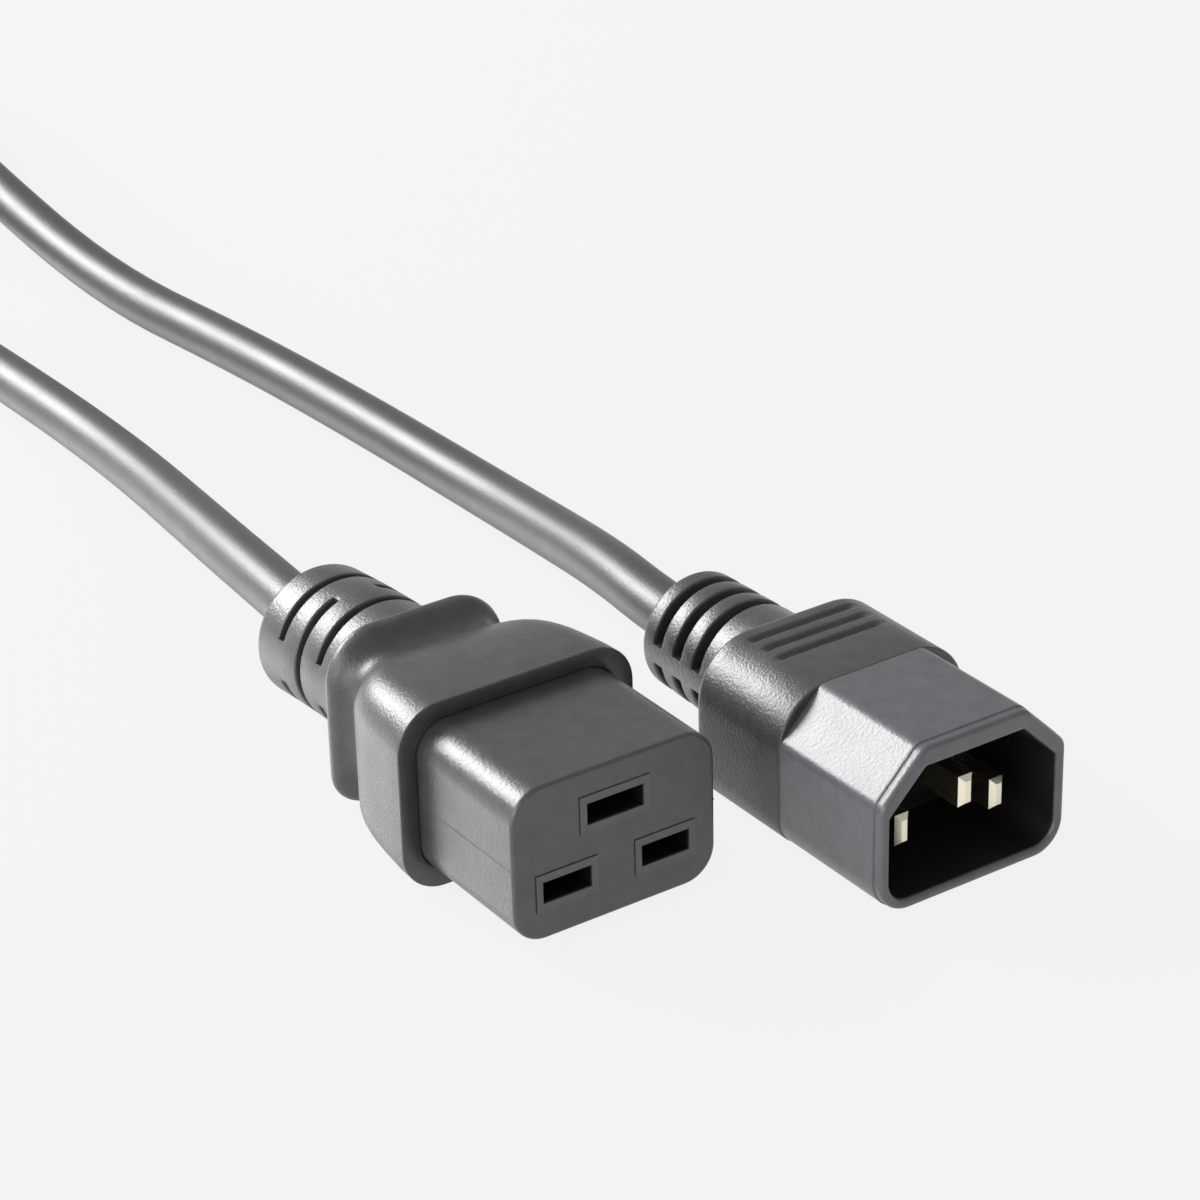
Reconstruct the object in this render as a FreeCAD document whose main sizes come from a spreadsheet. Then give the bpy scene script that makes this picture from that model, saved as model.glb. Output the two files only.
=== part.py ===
import FreeCAD, Part
import Sketcher
import math
import os

from FreeCAD import Placement, Rotation, Vector

os.makedirs("parts", exist_ok=True)
doc = FreeCAD.newDocument("power_cord")

# A mains lead: a high-current socket connector and an inlet plug, both moulded on one round cord.
# The frame has +Z up and both connectors facing -Y. Each connector is drawn from the middle of its
# own front face, with depth counted along +Y, and is then put in its place on the table.

# Driving dimensions, millimetres and degrees
SIZES = {
    # The cord and the three cores inside it
    "cord_diameter": 7.4,
    "core_diameter": 2.7,
    "strand_diameter": 1.5,
    "core_circle": 1.75,
    "plug_core_circle": 2.05,
    "wire_clearance": 0.05,
    # The connector's nose and the windows in its face
    "nose_margin": 2.9,
    "nose_height": 19.7,
    "nose_corner": 4.2,
    "nose_length": 19.65,
    "nose_seat": 8.0,
    "nose_front_wall": 2.0,
    "nose_side_wall": 2.1,
    "nose_edge": 0.5,
    "pole_spread": 6.7,
    "pole_drop": 3.72,
    "earth_rise": 4.28,
    "pole_frame_width": 8.3,
    "earth_frame_width": 9.5,
    "frame_height": 4.7,
    "frame_gap": 0.12,
    "frame_proud": 0.15,
    "pole_slot_width": 6.6,
    "earth_slot_width": 7.7,
    "contact_slot_height": 2.75,
    "chamber_height": 4.2,
    "chamber_side_gap": 0.4,
    "chamber_front_wall": 2.1,
    # The sprung contacts behind the slots
    "contact_stock": 0.6,
    "contact_gap": 1.7,
    "contact_length": 16.0,
    "contact_flare": 0.5,
    "contact_set": 0.35,
    "contact_pinch": 2.0,
    "contact_clearance": 0.15,
    "barrel_diameter": 2.9,
    "barrel_length": 5.0,
    "strip_gap": 0.4,
    "bend_lead": 0.5,
    # The connector's grip, ridge and strain relief
    "flange_width": 32.5,
    "flange_height": 24.1,
    "flange_corner": 5.6,
    "hump_width": 29.6,
    "hump_drop": 0.95,
    "hump_corner": 5.0,
    "hump_length": 11.4,
    "shoulder_inset": 1.4,
    "shoulder_drop": 1.55,
    "shoulder_length": 3.0,
    "neck_inset": 1.85,
    "neck_drop": 2.1,
    "neck_corner": 4.6,
    "neck_length": 3.8,
    "ridge_width": 24.5,
    "ridge_proud": 2.0,
    "ridge_corner": 6.8,
    "ridge_low_corner": 4.5,
    "ridge_rise": 3.0,
    "ridge_thickness": 2.5,
    "ridge_edge": 0.9,
    "boot_diameter": 18.2,
    "boot_length": 22.6,
    "boot_edge": 1.0,
    "boot_slot_width": 1.2,
    "boot_slot_depth": 3.1,
    "boot_slot_pitch": 4.6,
    "boot_end_band": 5.9,
    "slot_angle": 140.0,
    "cord_end_length": 20.0,
    # The plug's hood and its mouth
    "hood_width": 27.3,
    "hood_height": 20.54,
    "hood_chamfer": 6.1,
    "hood_corner": 4.3,
    "hood_length": 19.0,
    "hood_edge": 0.6,
    "mouth_side_wall": 1.4,
    "mouth_top_wall": 2.65,
    "mouth_bottom_wall": 1.4,
    "mouth_chamfer": 5.05,
    "mouth_corner": 3.0,
    "mouth_depth": 16.0,
    "plinth_inset": 2.65,
    "plinth_height": 15.0,
    "plinth_corner": 2.0,
    "plinth_length": 3.5,
    # The plug's pins
    "pin_thickness": 2.0,
    "pin_height": 4.0,
    "pin_spread": 7.0,
    "pin_drop": 2.63,
    "earth_pin_rise": 1.37,
    "pole_pin_setback": 4.1,
    "earth_pin_setback": 1.35,
    "pin_bevel": 0.6,
    # The plug's body and strain relief
    "body_proud": 0.15,
    "body_corner": 7.6,
    "body_low_corner": 3.2,
    "body_length": 16.7,
    "body_edge": 1.2,
    "groove_length": 15.6,
    "groove_width": 1.1,
    "groove_depth": 0.7,
    "groove_pitch": 2.75,
    "groove_margin": 3.1,
    "plug_boot_diameter": 16.8,
    "plug_boot_length": 19.7,
    "plug_slot_width": 1.5,
    "plug_slot_angle": 158.0,
    "plug_slot_depth": 3.0,
    "plug_slot_pitch": 4.1,
    "plug_end_band": 3.6,
    "plug_cord_end_length": 13.5,
    # How the two connectors lie, and the coil of spare cord
    "plug_spacing": 38.4,
    "plug_lead": 16.6,
    "coil_mean_radius": 37.5,
    "coil_turns_across": 3,
    "coil_layers": 2,
    "coil_centre_x": -14.4,
    "coil_centre_y": 278.0,
    "coil_edge": 1.8,
    "coil_tuck": 0.6,
    "coil_tail": 28.0,
    "connector_tail_angle": 215.0,
    "plug_tail_angle": 350.0,
    "table_gap": 0.02,
}

pieces = []
sheet = doc.addObject("Spreadsheet::Sheet", "Sheet")
for row, (alias, value) in enumerate(SIZES.items(), start=1):
    sheet.set("A%d" % row, alias)
    sheet.set("B%d" % row, str(value))
    sheet.setAlias("B%d" % row, alias)
doc.recompute()


def size(alias):
    """The value of one cell of the sheet."""
    return float(sheet.get(alias))


def worked_out(expression):
    """The number that an expression in the sheet's names comes to now."""
    for alias in sorted(SIZES, key=len, reverse=True):
        expression = expression.replace("Sheet." + alias, repr(size(alias)))
    return FreeCAD.Units.Quantity(expression).Value


# Depths behind a front face that several pieces share
NOSE_REAR = "(Sheet.nose_length + Sheet.nose_seat)"
HUMP_REAR = "(Sheet.nose_length + Sheet.hump_length)"
SHOULDER_REAR = "(Sheet.nose_length + Sheet.hump_length + Sheet.shoulder_length)"
NECK_REAR = "(%s + Sheet.neck_length)" % SHOULDER_REAR
RIDGE_FRONT = "(%s + Sheet.ridge_rise)" % NECK_REAR
RIDGE_REAR = "(%s + Sheet.ridge_thickness)" % RIDGE_FRONT
BOOT_END = "(%s + Sheet.boot_length)" % RIDGE_REAR
CORD_END = "(%s - Sheet.cord_end_length)" % BOOT_END
CONTACT_FRONT = "(Sheet.chamber_front_wall + Sheet.contact_clearance)"
CONTACT_REAR = "(%s + Sheet.contact_length)" % CONTACT_FRONT
BARREL_REAR = "(%s + Sheet.barrel_length)" % CONTACT_REAR
PLINTH_REAR = "(Sheet.hood_length + Sheet.plinth_length)"
BODY_REAR = "(Sheet.hood_length + Sheet.body_length)"
PLUG_BOOT_END = "(%s + Sheet.plug_boot_length)" % BODY_REAR
PLUG_CORD_END = "(%s - Sheet.plug_cord_end_length)" % PLUG_BOOT_END
PIN_BARREL_REAR = "(%s + Sheet.barrel_length)" % PLINTH_REAR
# Widths and heights that follow the piece or the ridge beside them
NOSE_WIDTH = "(2 * Sheet.pole_spread + Sheet.pole_frame_width + 2 * Sheet.nose_margin)"
HUMP_HEIGHT = "(Sheet.flange_height - 2 * Sheet.hump_drop)"
SHOULDER_WIDTH = "(Sheet.hump_width - 2 * Sheet.shoulder_inset)"
SHOULDER_HEIGHT = "(Sheet.flange_height - 2 * Sheet.shoulder_drop)"
NECK_WIDTH = "(Sheet.ridge_width - 2 * Sheet.neck_inset)"
RIDGE_TOP = "(Sheet.boot_diameter / 2 + Sheet.ridge_proud)"
NECK_HEIGHT = "(2 * %s - 2 * Sheet.neck_drop)" % RIDGE_TOP
MOUTH_WIDTH = "(Sheet.hood_width - 2 * Sheet.mouth_side_wall)"
PLINTH_WIDTH = "(Sheet.hood_width - 2 * Sheet.plinth_inset)"
BODY_WIDTH = "(Sheet.hood_width + 2 * Sheet.body_proud)"
PLUG_BEND = "(%s + Sheet.strip_gap + Sheet.bend_lead)" % PIN_BARREL_REAR

# Where the two connectors lie, so that the pair is centred and rests on the table
CONNECTOR_X = "((Sheet.flange_width - %s) / 4 - Sheet.plug_spacing / 2)" % BODY_WIDTH
CONNECTOR_Y = "((Sheet.plug_lead - %s) / 2)" % BOOT_END
PLUG_X = "(%s + Sheet.plug_spacing)" % CONNECTOR_X
PLUG_Y = "(%s - Sheet.plug_lead)" % CONNECTOR_Y
PLACES = {
    "connector": (CONNECTOR_X, CONNECTOR_Y, "Sheet.flange_height / 2"),
    "plug": (PLUG_X, PLUG_Y, "Sheet.hood_height / 2"),
}


def new_body(name, side, x="0", z="0"):
    """An empty body for a piece of one connector, drawn from the middle of that connector's face."""
    body = doc.addObject("PartDesign::Body", name)
    body.Label = name
    place = PLACES[side]
    body.setExpression("Placement.Base.x", "%s + %s" % (place[0], x))
    body.setExpression("Placement.Base.y", place[1])
    body.setExpression("Placement.Base.z", "%s + %s" % (place[2], z))
    pieces.append(body)
    return body


def new_sketch(body, role, name, depth="0", turn=0.0):
    """A sketch on one of the body's own planes, moved back by a depth or turned about its X axis."""
    sketch = body.newObject("Sketcher::SketchObject", name)
    plane = next(f for f in body.Origin.OriginFeatures if f.Role == role)
    sketch.AttachmentSupport = [(plane, "")]
    sketch.MapMode = "FlatFace"
    sketch.AttachmentOffset = Placement(Vector(0, 0, 0), Rotation(Vector(1, 0, 0), turn))
    if depth != "0":
        sketch.setExpression("AttachmentOffset.Base.z", "-" + depth)
    return sketch


def set_distance(sketch, kind, geometry, point, name, expression):
    """Ties one coordinate of a point, measured from the origin, to the sheet."""
    value = worked_out(expression)
    index = sketch.addConstraint(Sketcher.Constraint(kind, -1, 1, geometry, point, value))
    sketch.renameConstraint(index, name)
    sketch.setExpression("Constraints." + name, expression)


def polygon(sketch, corners, tag="p"):
    """A closed outline whose corners are pairs of expressions in the sheet's names."""
    points = [Vector(worked_out(x), worked_out(y), 0) for x, y in corners]
    first = sketch.GeometryCount
    count = len(points)
    for i in range(count):
        sketch.addGeometry(Part.LineSegment(points[i], points[(i + 1) % count]), False)
    for i in range(count):
        after = first + (i + 1) % count
        sketch.addConstraint(Sketcher.Constraint("Coincident", first + i, 2, after, 1))
    for i, (x, y) in enumerate(corners):
        set_distance(sketch, "DistanceX", first + i, 1, "%sx%d" % (tag, i), x)
        set_distance(sketch, "DistanceY", first + i, 1, "%sy%d" % (tag, i), y)


def rectangle(sketch, width, height, x="0", y="0", tag="r"):
    """A rectangle round a middle point."""
    left = "%s - %s / 2" % (x, width)
    right = "%s + %s / 2" % (x, width)
    low = "%s - %s / 2" % (y, height)
    high = "%s + %s / 2" % (y, height)
    polygon(sketch, [(left, low), (right, low), (right, high), (left, high)], tag)


def rounded_rectangle(sketch, width, height, corner, low_corner=None, rise="0"):
    """A rectangle round the origin, or raised, with corner arcs that may be smaller or larger below."""
    low_corner = low_corner or corner
    w = worked_out(width) / 2
    top = worked_out("%s + %s / 2" % (rise, height))
    low = worked_out("%s - %s / 2" % (rise, height))
    r = worked_out(corner)
    q = worked_out(low_corner)
    sides = [
        (Vector(-w + q, low, 0), Vector(w - q, low, 0)),
        (Vector(w, low + q, 0), Vector(w, top - r, 0)),
        (Vector(w - r, top, 0), Vector(-w + r, top, 0)),
        (Vector(-w, top - r, 0), Vector(-w, low + q, 0)),
    ]
    corners = [
        (Vector(w - q, low + q, 0), q),
        (Vector(w - r, top - r, 0), r),
        (Vector(-w + r, top - r, 0), r),
        (Vector(-w + q, low + q, 0), q),
    ]
    for start, end in sides:
        sketch.addGeometry(Part.LineSegment(start, end), False)
    for i, (centre, radius) in enumerate(corners):
        circle = Part.Circle(centre, Vector(0, 0, 1), radius)
        begin = math.radians(270 + 90 * i)
        sketch.addGeometry(Part.ArcOfCircle(circle, begin, begin + math.pi / 2), False)
    for i in range(4):
        sketch.addConstraint(Sketcher.Constraint("Tangent", i, 2, 4 + i, 1))
        sketch.addConstraint(Sketcher.Constraint("Tangent", 4 + i, 2, (i + 1) % 4, 1))
        sketch.addConstraint(Sketcher.Constraint("Horizontal" if i % 2 == 0 else "Vertical", i))
    sketch.addConstraint(Sketcher.Constraint("Equal", 5, 6))
    sketch.addConstraint(Sketcher.Constraint("Equal", 4, 7))
    for index, name, value in ((5, "corner", corner), (4, "low_corner", low_corner)):
        radius = sketch.addConstraint(Sketcher.Constraint("Radius", index, worked_out(value)))
        sketch.renameConstraint(radius, name)
        sketch.setExpression("Constraints." + name, value)
    set_distance(sketch, "DistanceX", 1, 1, "right", "%s / 2" % width)
    set_distance(sketch, "DistanceX", 3, 1, "left", "-%s / 2" % width)
    set_distance(sketch, "DistanceY", 2, 1, "top", "%s + %s / 2" % (rise, height))
    set_distance(sketch, "DistanceY", 0, 1, "bottom", "%s - %s / 2" % (rise, height))


def disc(sketch, diameter, x="0", y="0", tag="c"):
    """A circle round a middle point."""
    centre = Vector(worked_out(x), worked_out(y), 0)
    index = sketch.addGeometry(Part.Circle(centre, Vector(0, 0, 1), worked_out(diameter) / 2), False)
    across = sketch.addConstraint(Sketcher.Constraint("Diameter", index, worked_out(diameter)))
    sketch.renameConstraint(across, tag + "_across")
    sketch.setExpression("Constraints.%s_across" % tag, diameter)
    set_distance(sketch, "DistanceX", index, 3, tag + "_x", x)
    set_distance(sketch, "DistanceY", index, 3, tag + "_y", y)


def pad(body, sketch, name, length, backwards=True):
    """A straight block from a sketch, towards the cord unless told otherwise."""
    feature = body.newObject("PartDesign::Pad", name)
    feature.Profile = sketch
    feature.Reversed = backwards
    feature.setExpression("Length", length)
    doc.recompute()
    return feature


def pocket(body, sketch, name, length, backwards=True):
    """A straight cut from a sketch, which has to take something away."""
    before = body.Shape.Volume
    feature = body.newObject("PartDesign::Pocket", name)
    feature.Profile = sketch
    feature.Reversed = not backwards
    feature.setExpression("Length", length)
    doc.recompute()
    if feature.Shape.Volume > before - 1e-6:
        raise RuntimeError("%s cuts nothing" % name)
    return feature


def edges_where(shape, test):
    """Names of the edges whose box passes a test."""
    return ["Edge%d" % (i + 1) for i, edge in enumerate(shape.Edges) if test(edge.BoundBox)]


def round_edges(body, name, radius, test, kind="PartDesign::Fillet"):
    """A fillet or chamfer on the edges of the body's tip that pass a test."""
    base = body.Tip
    feature = body.newObject(kind, name)
    feature.Base = (base, edges_where(base.Shape, test))
    feature.setExpression("Size" if kind.endswith("Chamfer") else "Radius", radius)
    doc.recompute()
    return feature


def lies_at(depth):
    """A test for edges that lie flat in the plane at a depth."""
    place = worked_out(depth)

    def test(box):
        return abs(box.YMin - place) < 1e-4 and abs(box.YMax - place) < 1e-4

    return test


def ring_slots(body, name, depth, width, boot, slot_depth, turn, sweep):
    """A pair of slots cut into a round boot, with a web left between them on each side."""
    before = body.Shape.Volume
    sketch = new_sketch(body, "YZ_Plane", name + "_section", turn=turn)
    tall = "(%s + 1)" % slot_depth
    middle = "(%s / 2 - %s + %s / 2)" % (boot, slot_depth, tall)
    rectangle(sketch, width, tall, depth, middle, "a")
    rectangle(sketch, width, tall, depth, "-" + middle, "b")
    feature = body.newObject("PartDesign::Groove", name)
    feature.Profile = sketch
    feature.ReferenceAxis = (sketch, ["H_Axis"])
    feature.Midplane = True
    feature.setExpression("Angle", sweep)
    doc.recompute()
    if feature.Shape.Volume > before - 1e-6:
        raise RuntimeError("%s cuts nothing" % name)


def core_run(body, name, kind, pole, start, end, circle, diameter):
    """A round bar or hole that slants from a pole's place at one depth in to the cores' circle at another."""
    out_x = worked_out(pole[0])
    out_z = worked_out(pole[1])
    share = worked_out(circle) / math.hypot(out_x, out_z)
    section = new_sketch(body, "XZ_Plane", name + "_section", depth=start)
    disc(section, diameter, pole[0], pole[1])
    before = body.Shape.Volume
    feature = body.newObject("PartDesign::" + kind, name)
    feature.Profile = section
    feature.UseCustomVector = True
    feature.AlongSketchNormal = True
    back = worked_out("%s - %s" % (end, start))
    feature.Direction = Vector(out_x * (share - 1), back, out_z * (share - 1))
    feature.setExpression("Length", "%s - %s" % (end, start))
    doc.recompute()
    if kind == "Pocket" and feature.Shape.Volume > before - 1e-6:
        raise RuntimeError("%s cuts nothing" % name)
    return feature


# The three poles of each connector, as the sideways and upward expressions of their middles
CONNECTOR_POLES = {
    "earth": ("0", "Sheet.earth_rise"),
    "line": ("-Sheet.pole_spread", "-Sheet.pole_drop"),
    "neutral": ("Sheet.pole_spread", "-Sheet.pole_drop"),
}
PLUG_POLES = {
    "earth": ("0", "Sheet.earth_pin_rise"),
    "line": ("-Sheet.pin_spread", "-Sheet.pin_drop"),
    "neutral": ("Sheet.pin_spread", "-Sheet.pin_drop"),
}
GAP = "Sheet.wire_clearance"

# The connector's nose: a hollow block of hard black plastic, open at the back, with three windows
NOSE_INSIDE_WIDTH = "(%s - 2 * Sheet.nose_side_wall)" % NOSE_WIDTH
NOSE_INSIDE_HEIGHT = "(Sheet.nose_height - 2 * Sheet.nose_side_wall)"
NOSE_INSIDE_CORNER = "(Sheet.nose_corner - Sheet.nose_side_wall)"


def connector_windows(sketch, extra):
    """The three frames of the face, grown by a gap."""
    for pole, (x, z) in CONNECTOR_POLES.items():
        wide = "Sheet.earth_frame_width" if pole == "earth" else "Sheet.pole_frame_width"
        rectangle(sketch, "(%s + 2 * %s)" % (wide, extra), "(Sheet.frame_height + 2 * %s)" % extra, x, z, pole)


def connector_slots(sketch, high, extra):
    """The three slots for the blades, grown sideways."""
    for pole, (x, z) in CONNECTOR_POLES.items():
        wide = "Sheet.earth_slot_width" if pole == "earth" else "Sheet.pole_slot_width"
        rectangle(sketch, "(%s + 2 * %s)" % (wide, extra), high, x, z, pole)


nose = new_body("connector_nose", "connector")
outline = new_sketch(nose, "XZ_Plane", "nose_outline")
rounded_rectangle(outline, NOSE_WIDTH, "Sheet.nose_height", "Sheet.nose_corner")
pad(nose, outline, "nose_block", NOSE_REAR)
hollow = new_sketch(nose, "XZ_Plane", "nose_inside", depth="Sheet.nose_front_wall")
rounded_rectangle(hollow, NOSE_INSIDE_WIDTH, NOSE_INSIDE_HEIGHT, NOSE_INSIDE_CORNER)
pocket(nose, hollow, "nose_hollow", NOSE_REAR)
windows = new_sketch(nose, "XZ_Plane", "nose_windows")
connector_windows(windows, "Sheet.frame_gap")
pocket(nose, windows, "nose_window_cut", "(Sheet.nose_front_wall + 1)")
half_width = worked_out(NOSE_WIDTH) / 2
half_height = size("nose_height") / 2


def nose_rim(box):
    """The outer edge of the nose's face."""
    reach_x = max(abs(box.XMin), abs(box.XMax))
    reach_z = max(abs(box.ZMin), abs(box.ZMax))
    outside = abs(reach_x - half_width) < 1e-3 or abs(reach_z - half_height) < 1e-3
    return outside and abs(box.YMin) < 1e-4 and abs(box.YMax) < 1e-4


round_edges(nose, "nose_edge_round", "Sheet.nose_edge", nose_rim)

# The contact carrier fills the nose, and its three frames stand in the windows round the slots
carrier = new_body("connector_contact_carrier", "connector")
CARRIER_FRONT = "(Sheet.nose_front_wall + %s)" % GAP
block = new_sketch(carrier, "XZ_Plane", "carrier_outline", depth=CARRIER_FRONT)
rounded_rectangle(
    block,
    "(%s - 2 * %s)" % (NOSE_INSIDE_WIDTH, GAP),
    "(%s - 2 * %s)" % (NOSE_INSIDE_HEIGHT, GAP),
    "(%s - %s)" % (NOSE_INSIDE_CORNER, GAP),
)
pad(carrier, block, "carrier_block", "(%s - %s)" % (NOSE_REAR, CARRIER_FRONT))
FRAME_FRONT = "(0 - Sheet.frame_proud)"
frames = new_sketch(carrier, "XZ_Plane", "carrier_frames", depth=FRAME_FRONT)
connector_windows(frames, "0")
pad(carrier, frames, "carrier_frame_blocks", "(Sheet.frame_proud + %s + 0.5)" % CARRIER_FRONT)
slots = new_sketch(carrier, "XZ_Plane", "carrier_slots", depth=FRAME_FRONT)
connector_slots(slots, "Sheet.contact_slot_height", "0")
pocket(carrier, slots, "carrier_slot_cut", "(Sheet.frame_proud + Sheet.chamber_front_wall + 0.5)")
chambers = new_sketch(carrier, "XZ_Plane", "carrier_chambers", depth="Sheet.chamber_front_wall")
connector_slots(chambers, "Sheet.chamber_height", "Sheet.chamber_side_gap")
pocket(carrier, chambers, "carrier_chamber_cut", NOSE_REAR)


def wire_bore(body, name, depth, diameter, bore, length):
    """A crimp barrel on the back of a contact, with its bore for the strands."""
    ring = new_sketch(body, "XZ_Plane", name + "_section", depth=depth)
    disc(ring, diameter, tag="outside")
    disc(ring, bore, tag="bore")
    pad(body, ring, name, length)


STRAND_BORE = "(Sheet.strand_diameter + 2 * %s)" % GAP

# Three sprung contacts of folded brass strip, each with two leaves and a crimp barrel
for pole, (x, z) in CONNECTOR_POLES.items():
    contact = new_body("connector_contact_" + pole, "connector", x, z)
    fold = new_sketch(contact, "YZ_Plane", "contact_fold_" + pole)
    leaf = "(Sheet.contact_gap / 2)"
    lip = "(%s + Sheet.contact_flare)" % leaf
    heel = "(%s + Sheet.contact_set)" % leaf
    pinch = "(%s + Sheet.contact_pinch)" % CONTACT_FRONT
    inside = "(%s - Sheet.contact_stock)" % CONTACT_REAR
    upper = [
        (CONTACT_FRONT, "(%s + Sheet.contact_stock)" % lip),
        (pinch, "(%s + Sheet.contact_stock)" % leaf),
        (CONTACT_REAR, "(%s + Sheet.contact_stock)" % heel),
    ]
    lower = [(place, "-" + high) for place, high in reversed(upper)]
    back = [
        (CONTACT_FRONT, "-" + lip),
        (pinch, "-" + leaf),
        (inside, "-" + heel),
        (inside, heel),
        (pinch, leaf),
        (CONTACT_FRONT, lip),
    ]
    polygon(fold, upper + lower + back)
    wide = "Sheet.earth_slot_width" if pole == "earth" else "Sheet.pole_slot_width"
    strip = contact.newObject("PartDesign::Pad", "contact_strip_" + pole)
    strip.Profile = fold
    strip.Midplane = True
    strip.setExpression("Length", "%s + 2 * Sheet.chamber_side_gap - 2 * %s" % (wide, GAP))
    doc.recompute()
    barrel = "contact_barrel_" + pole
    wire_bore(contact, barrel, CONTACT_REAR, "Sheet.barrel_diameter", STRAND_BORE, "Sheet.barrel_length")

# The plug's hood: a hard shell with a deep mouth, and a plinth at the back that holds the pins
hood = new_body("plug_shroud", "plug")
outline = new_sketch(hood, "XZ_Plane", "hood_outline")


def hood_shape(sketch, width, top, bottom, chamfer, tag):
    """An outline with its two top corners cut off at 45 degrees."""
    right = "(%s / 2)" % width
    corners = [
        ("-" + right, "-" + bottom),
        (right, "-" + bottom),
        (right, "%s - %s" % (top, chamfer)),
        ("%s - %s" % (right, chamfer), top),
        ("%s - %s" % (chamfer, right), top),
        ("-" + right, "%s - %s" % (top, chamfer)),
    ]
    polygon(sketch, corners, tag)


def upright_corners(reach_x, low):
    """A test for the long edges at the two bottom corners of an outline."""

    def test(box):
        long = box.YMax - box.YMin > 5
        side = abs(max(abs(box.XMin), abs(box.XMax)) - reach_x) < 1e-3
        return long and side and abs(box.ZMin + low) < 1e-3 and abs(box.ZMax + low) < 1e-3

    return test


HOOD_HALF = "(Sheet.hood_height / 2)"
hood_shape(outline, "Sheet.hood_width", HOOD_HALF, HOOD_HALF, "Sheet.hood_chamfer", "o")
pad(hood, outline, "hood_block", "Sheet.hood_length")
low_corner = upright_corners(size("hood_width") / 2, size("hood_height") / 2)
round_edges(hood, "hood_corner_round", "Sheet.hood_corner", low_corner)
mouth = new_sketch(hood, "XZ_Plane", "mouth_outline")
MOUTH_TOP = "(%s - Sheet.mouth_top_wall)" % HOOD_HALF
MOUTH_LOW = "(%s - Sheet.mouth_bottom_wall)" % HOOD_HALF
hood_shape(mouth, MOUTH_WIDTH, MOUTH_TOP, MOUTH_LOW, "Sheet.mouth_chamfer", "m")
pocket(hood, mouth, "mouth_cut", "Sheet.mouth_depth")
low_corner = upright_corners(worked_out(MOUTH_WIDTH) / 2, size("hood_height") / 2 - size("mouth_bottom_wall"))
round_edges(hood, "mouth_corner_round", "Sheet.mouth_corner", low_corner)


def hood_rim(box):
    """Every edge of the flat rim, outside and inside."""
    return abs(box.YMin) < 1e-4 and abs(box.YMax) < 1e-4


round_edges(hood, "hood_edge_round", "Sheet.hood_edge", hood_rim)
plinth = new_sketch(hood, "XZ_Plane", "plinth_outline", depth="(Sheet.hood_length - 0.5)")
rounded_rectangle(plinth, PLINTH_WIDTH, "Sheet.plinth_height", "Sheet.plinth_corner")
pad(hood, plinth, "plinth_block", "(Sheet.plinth_length + 0.5)")
holes = new_sketch(hood, "XZ_Plane", "pin_holes", depth="(Sheet.mouth_depth - 1)")
for pole, (x, z) in PLUG_POLES.items():
    wide = "(Sheet.pin_thickness + 2 * %s)" % GAP
    rectangle(holes, wide, "(Sheet.pin_height + 2 * %s)" % GAP, x, z, pole)
pocket(hood, holes, "pin_hole_cut", "(Sheet.hood_length + Sheet.plinth_length)")

# Three flat pins of plated brass bar, bevelled at the tip, each with a crimp barrel behind
for pole, (x, z) in PLUG_POLES.items():
    pin = new_body("plug_pin_" + pole, "plug", x, z)
    setback = "Sheet.earth_pin_setback" if pole == "earth" else "Sheet.pole_pin_setback"
    blade = new_sketch(pin, "XZ_Plane", "blade_section_" + pole, depth=setback)
    rectangle(blade, "Sheet.pin_thickness", "Sheet.pin_height")
    pad(pin, blade, "blade_" + pole, "(%s - %s)" % (PLINTH_REAR, setback))
    bevel = "blade_bevel_" + pole
    round_edges(pin, bevel, "Sheet.pin_bevel", lies_at(setback), "PartDesign::Chamfer")
    barrel = "pin_barrel_" + pole
    wire_bore(pin, barrel, PLINTH_REAR, "Sheet.barrel_diameter", STRAND_BORE, "Sheet.barrel_length")

# The cores: stripped strands in each crimp barrel, and the round insulation from there in to the cord
SIDES = {
    "connector": (CONNECTOR_POLES, CONTACT_REAR, BARREL_REAR, NOSE_REAR, CORD_END, "Sheet.core_circle"),
    "plug": (PLUG_POLES, PLINTH_REAR, PIN_BARREL_REAR, PLUG_BEND, PLUG_CORD_END, "Sheet.plug_core_circle"),
}
for side, (poles, metal_rear, crimp_rear, bend, cord_end, circle) in SIDES.items():
    for pole, place in poles.items():
        tag = "%s_%s" % (side, pole)
        stripped = "(%s + Sheet.strip_gap)" % crimp_rear
        tip = "(%s + Sheet.contact_clearance)" % metal_rear
        strands = new_body("%s_strands_%s" % (side, pole), side, *place)
        bundle = new_sketch(strands, "XZ_Plane", "strand_section_" + tag, depth=tip)
        disc(bundle, "Sheet.strand_diameter")
        pad(strands, bundle, "strand_bundle_" + tag, "(%s - %s)" % (stripped, tip))
        wire = new_body("%s_wire_%s" % (side, pole), side)
        cut_end = new_sketch(wire, "XZ_Plane", "wire_section_" + tag, depth=stripped)
        disc(cut_end, "Sheet.core_diameter", *place)
        pad(wire, cut_end, "wire_straight_" + tag, "(%s - %s)" % (bend, stripped))
        core_run(wire, "wire_slant_" + tag, "Pad", place, bend, cord_end, circle, "Sheet.core_diameter")

# The end of the cord inside each boot, a plain round length of the jacket
JACKET_HOLE = "(Sheet.cord_diameter + 2 * %s)" % GAP
for side, end, length in (
    ("connector", CORD_END, "Sheet.cord_end_length"),
    ("plug", PLUG_CORD_END, "Sheet.plug_cord_end_length"),
):
    stub = new_body(side + "_cord_end", side)
    section = new_sketch(stub, "XZ_Plane", side + "_cord_end_section", depth=end)
    disc(section, "Sheet.cord_diameter")
    pad(stub, section, side + "_cord_end_length", length)

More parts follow.
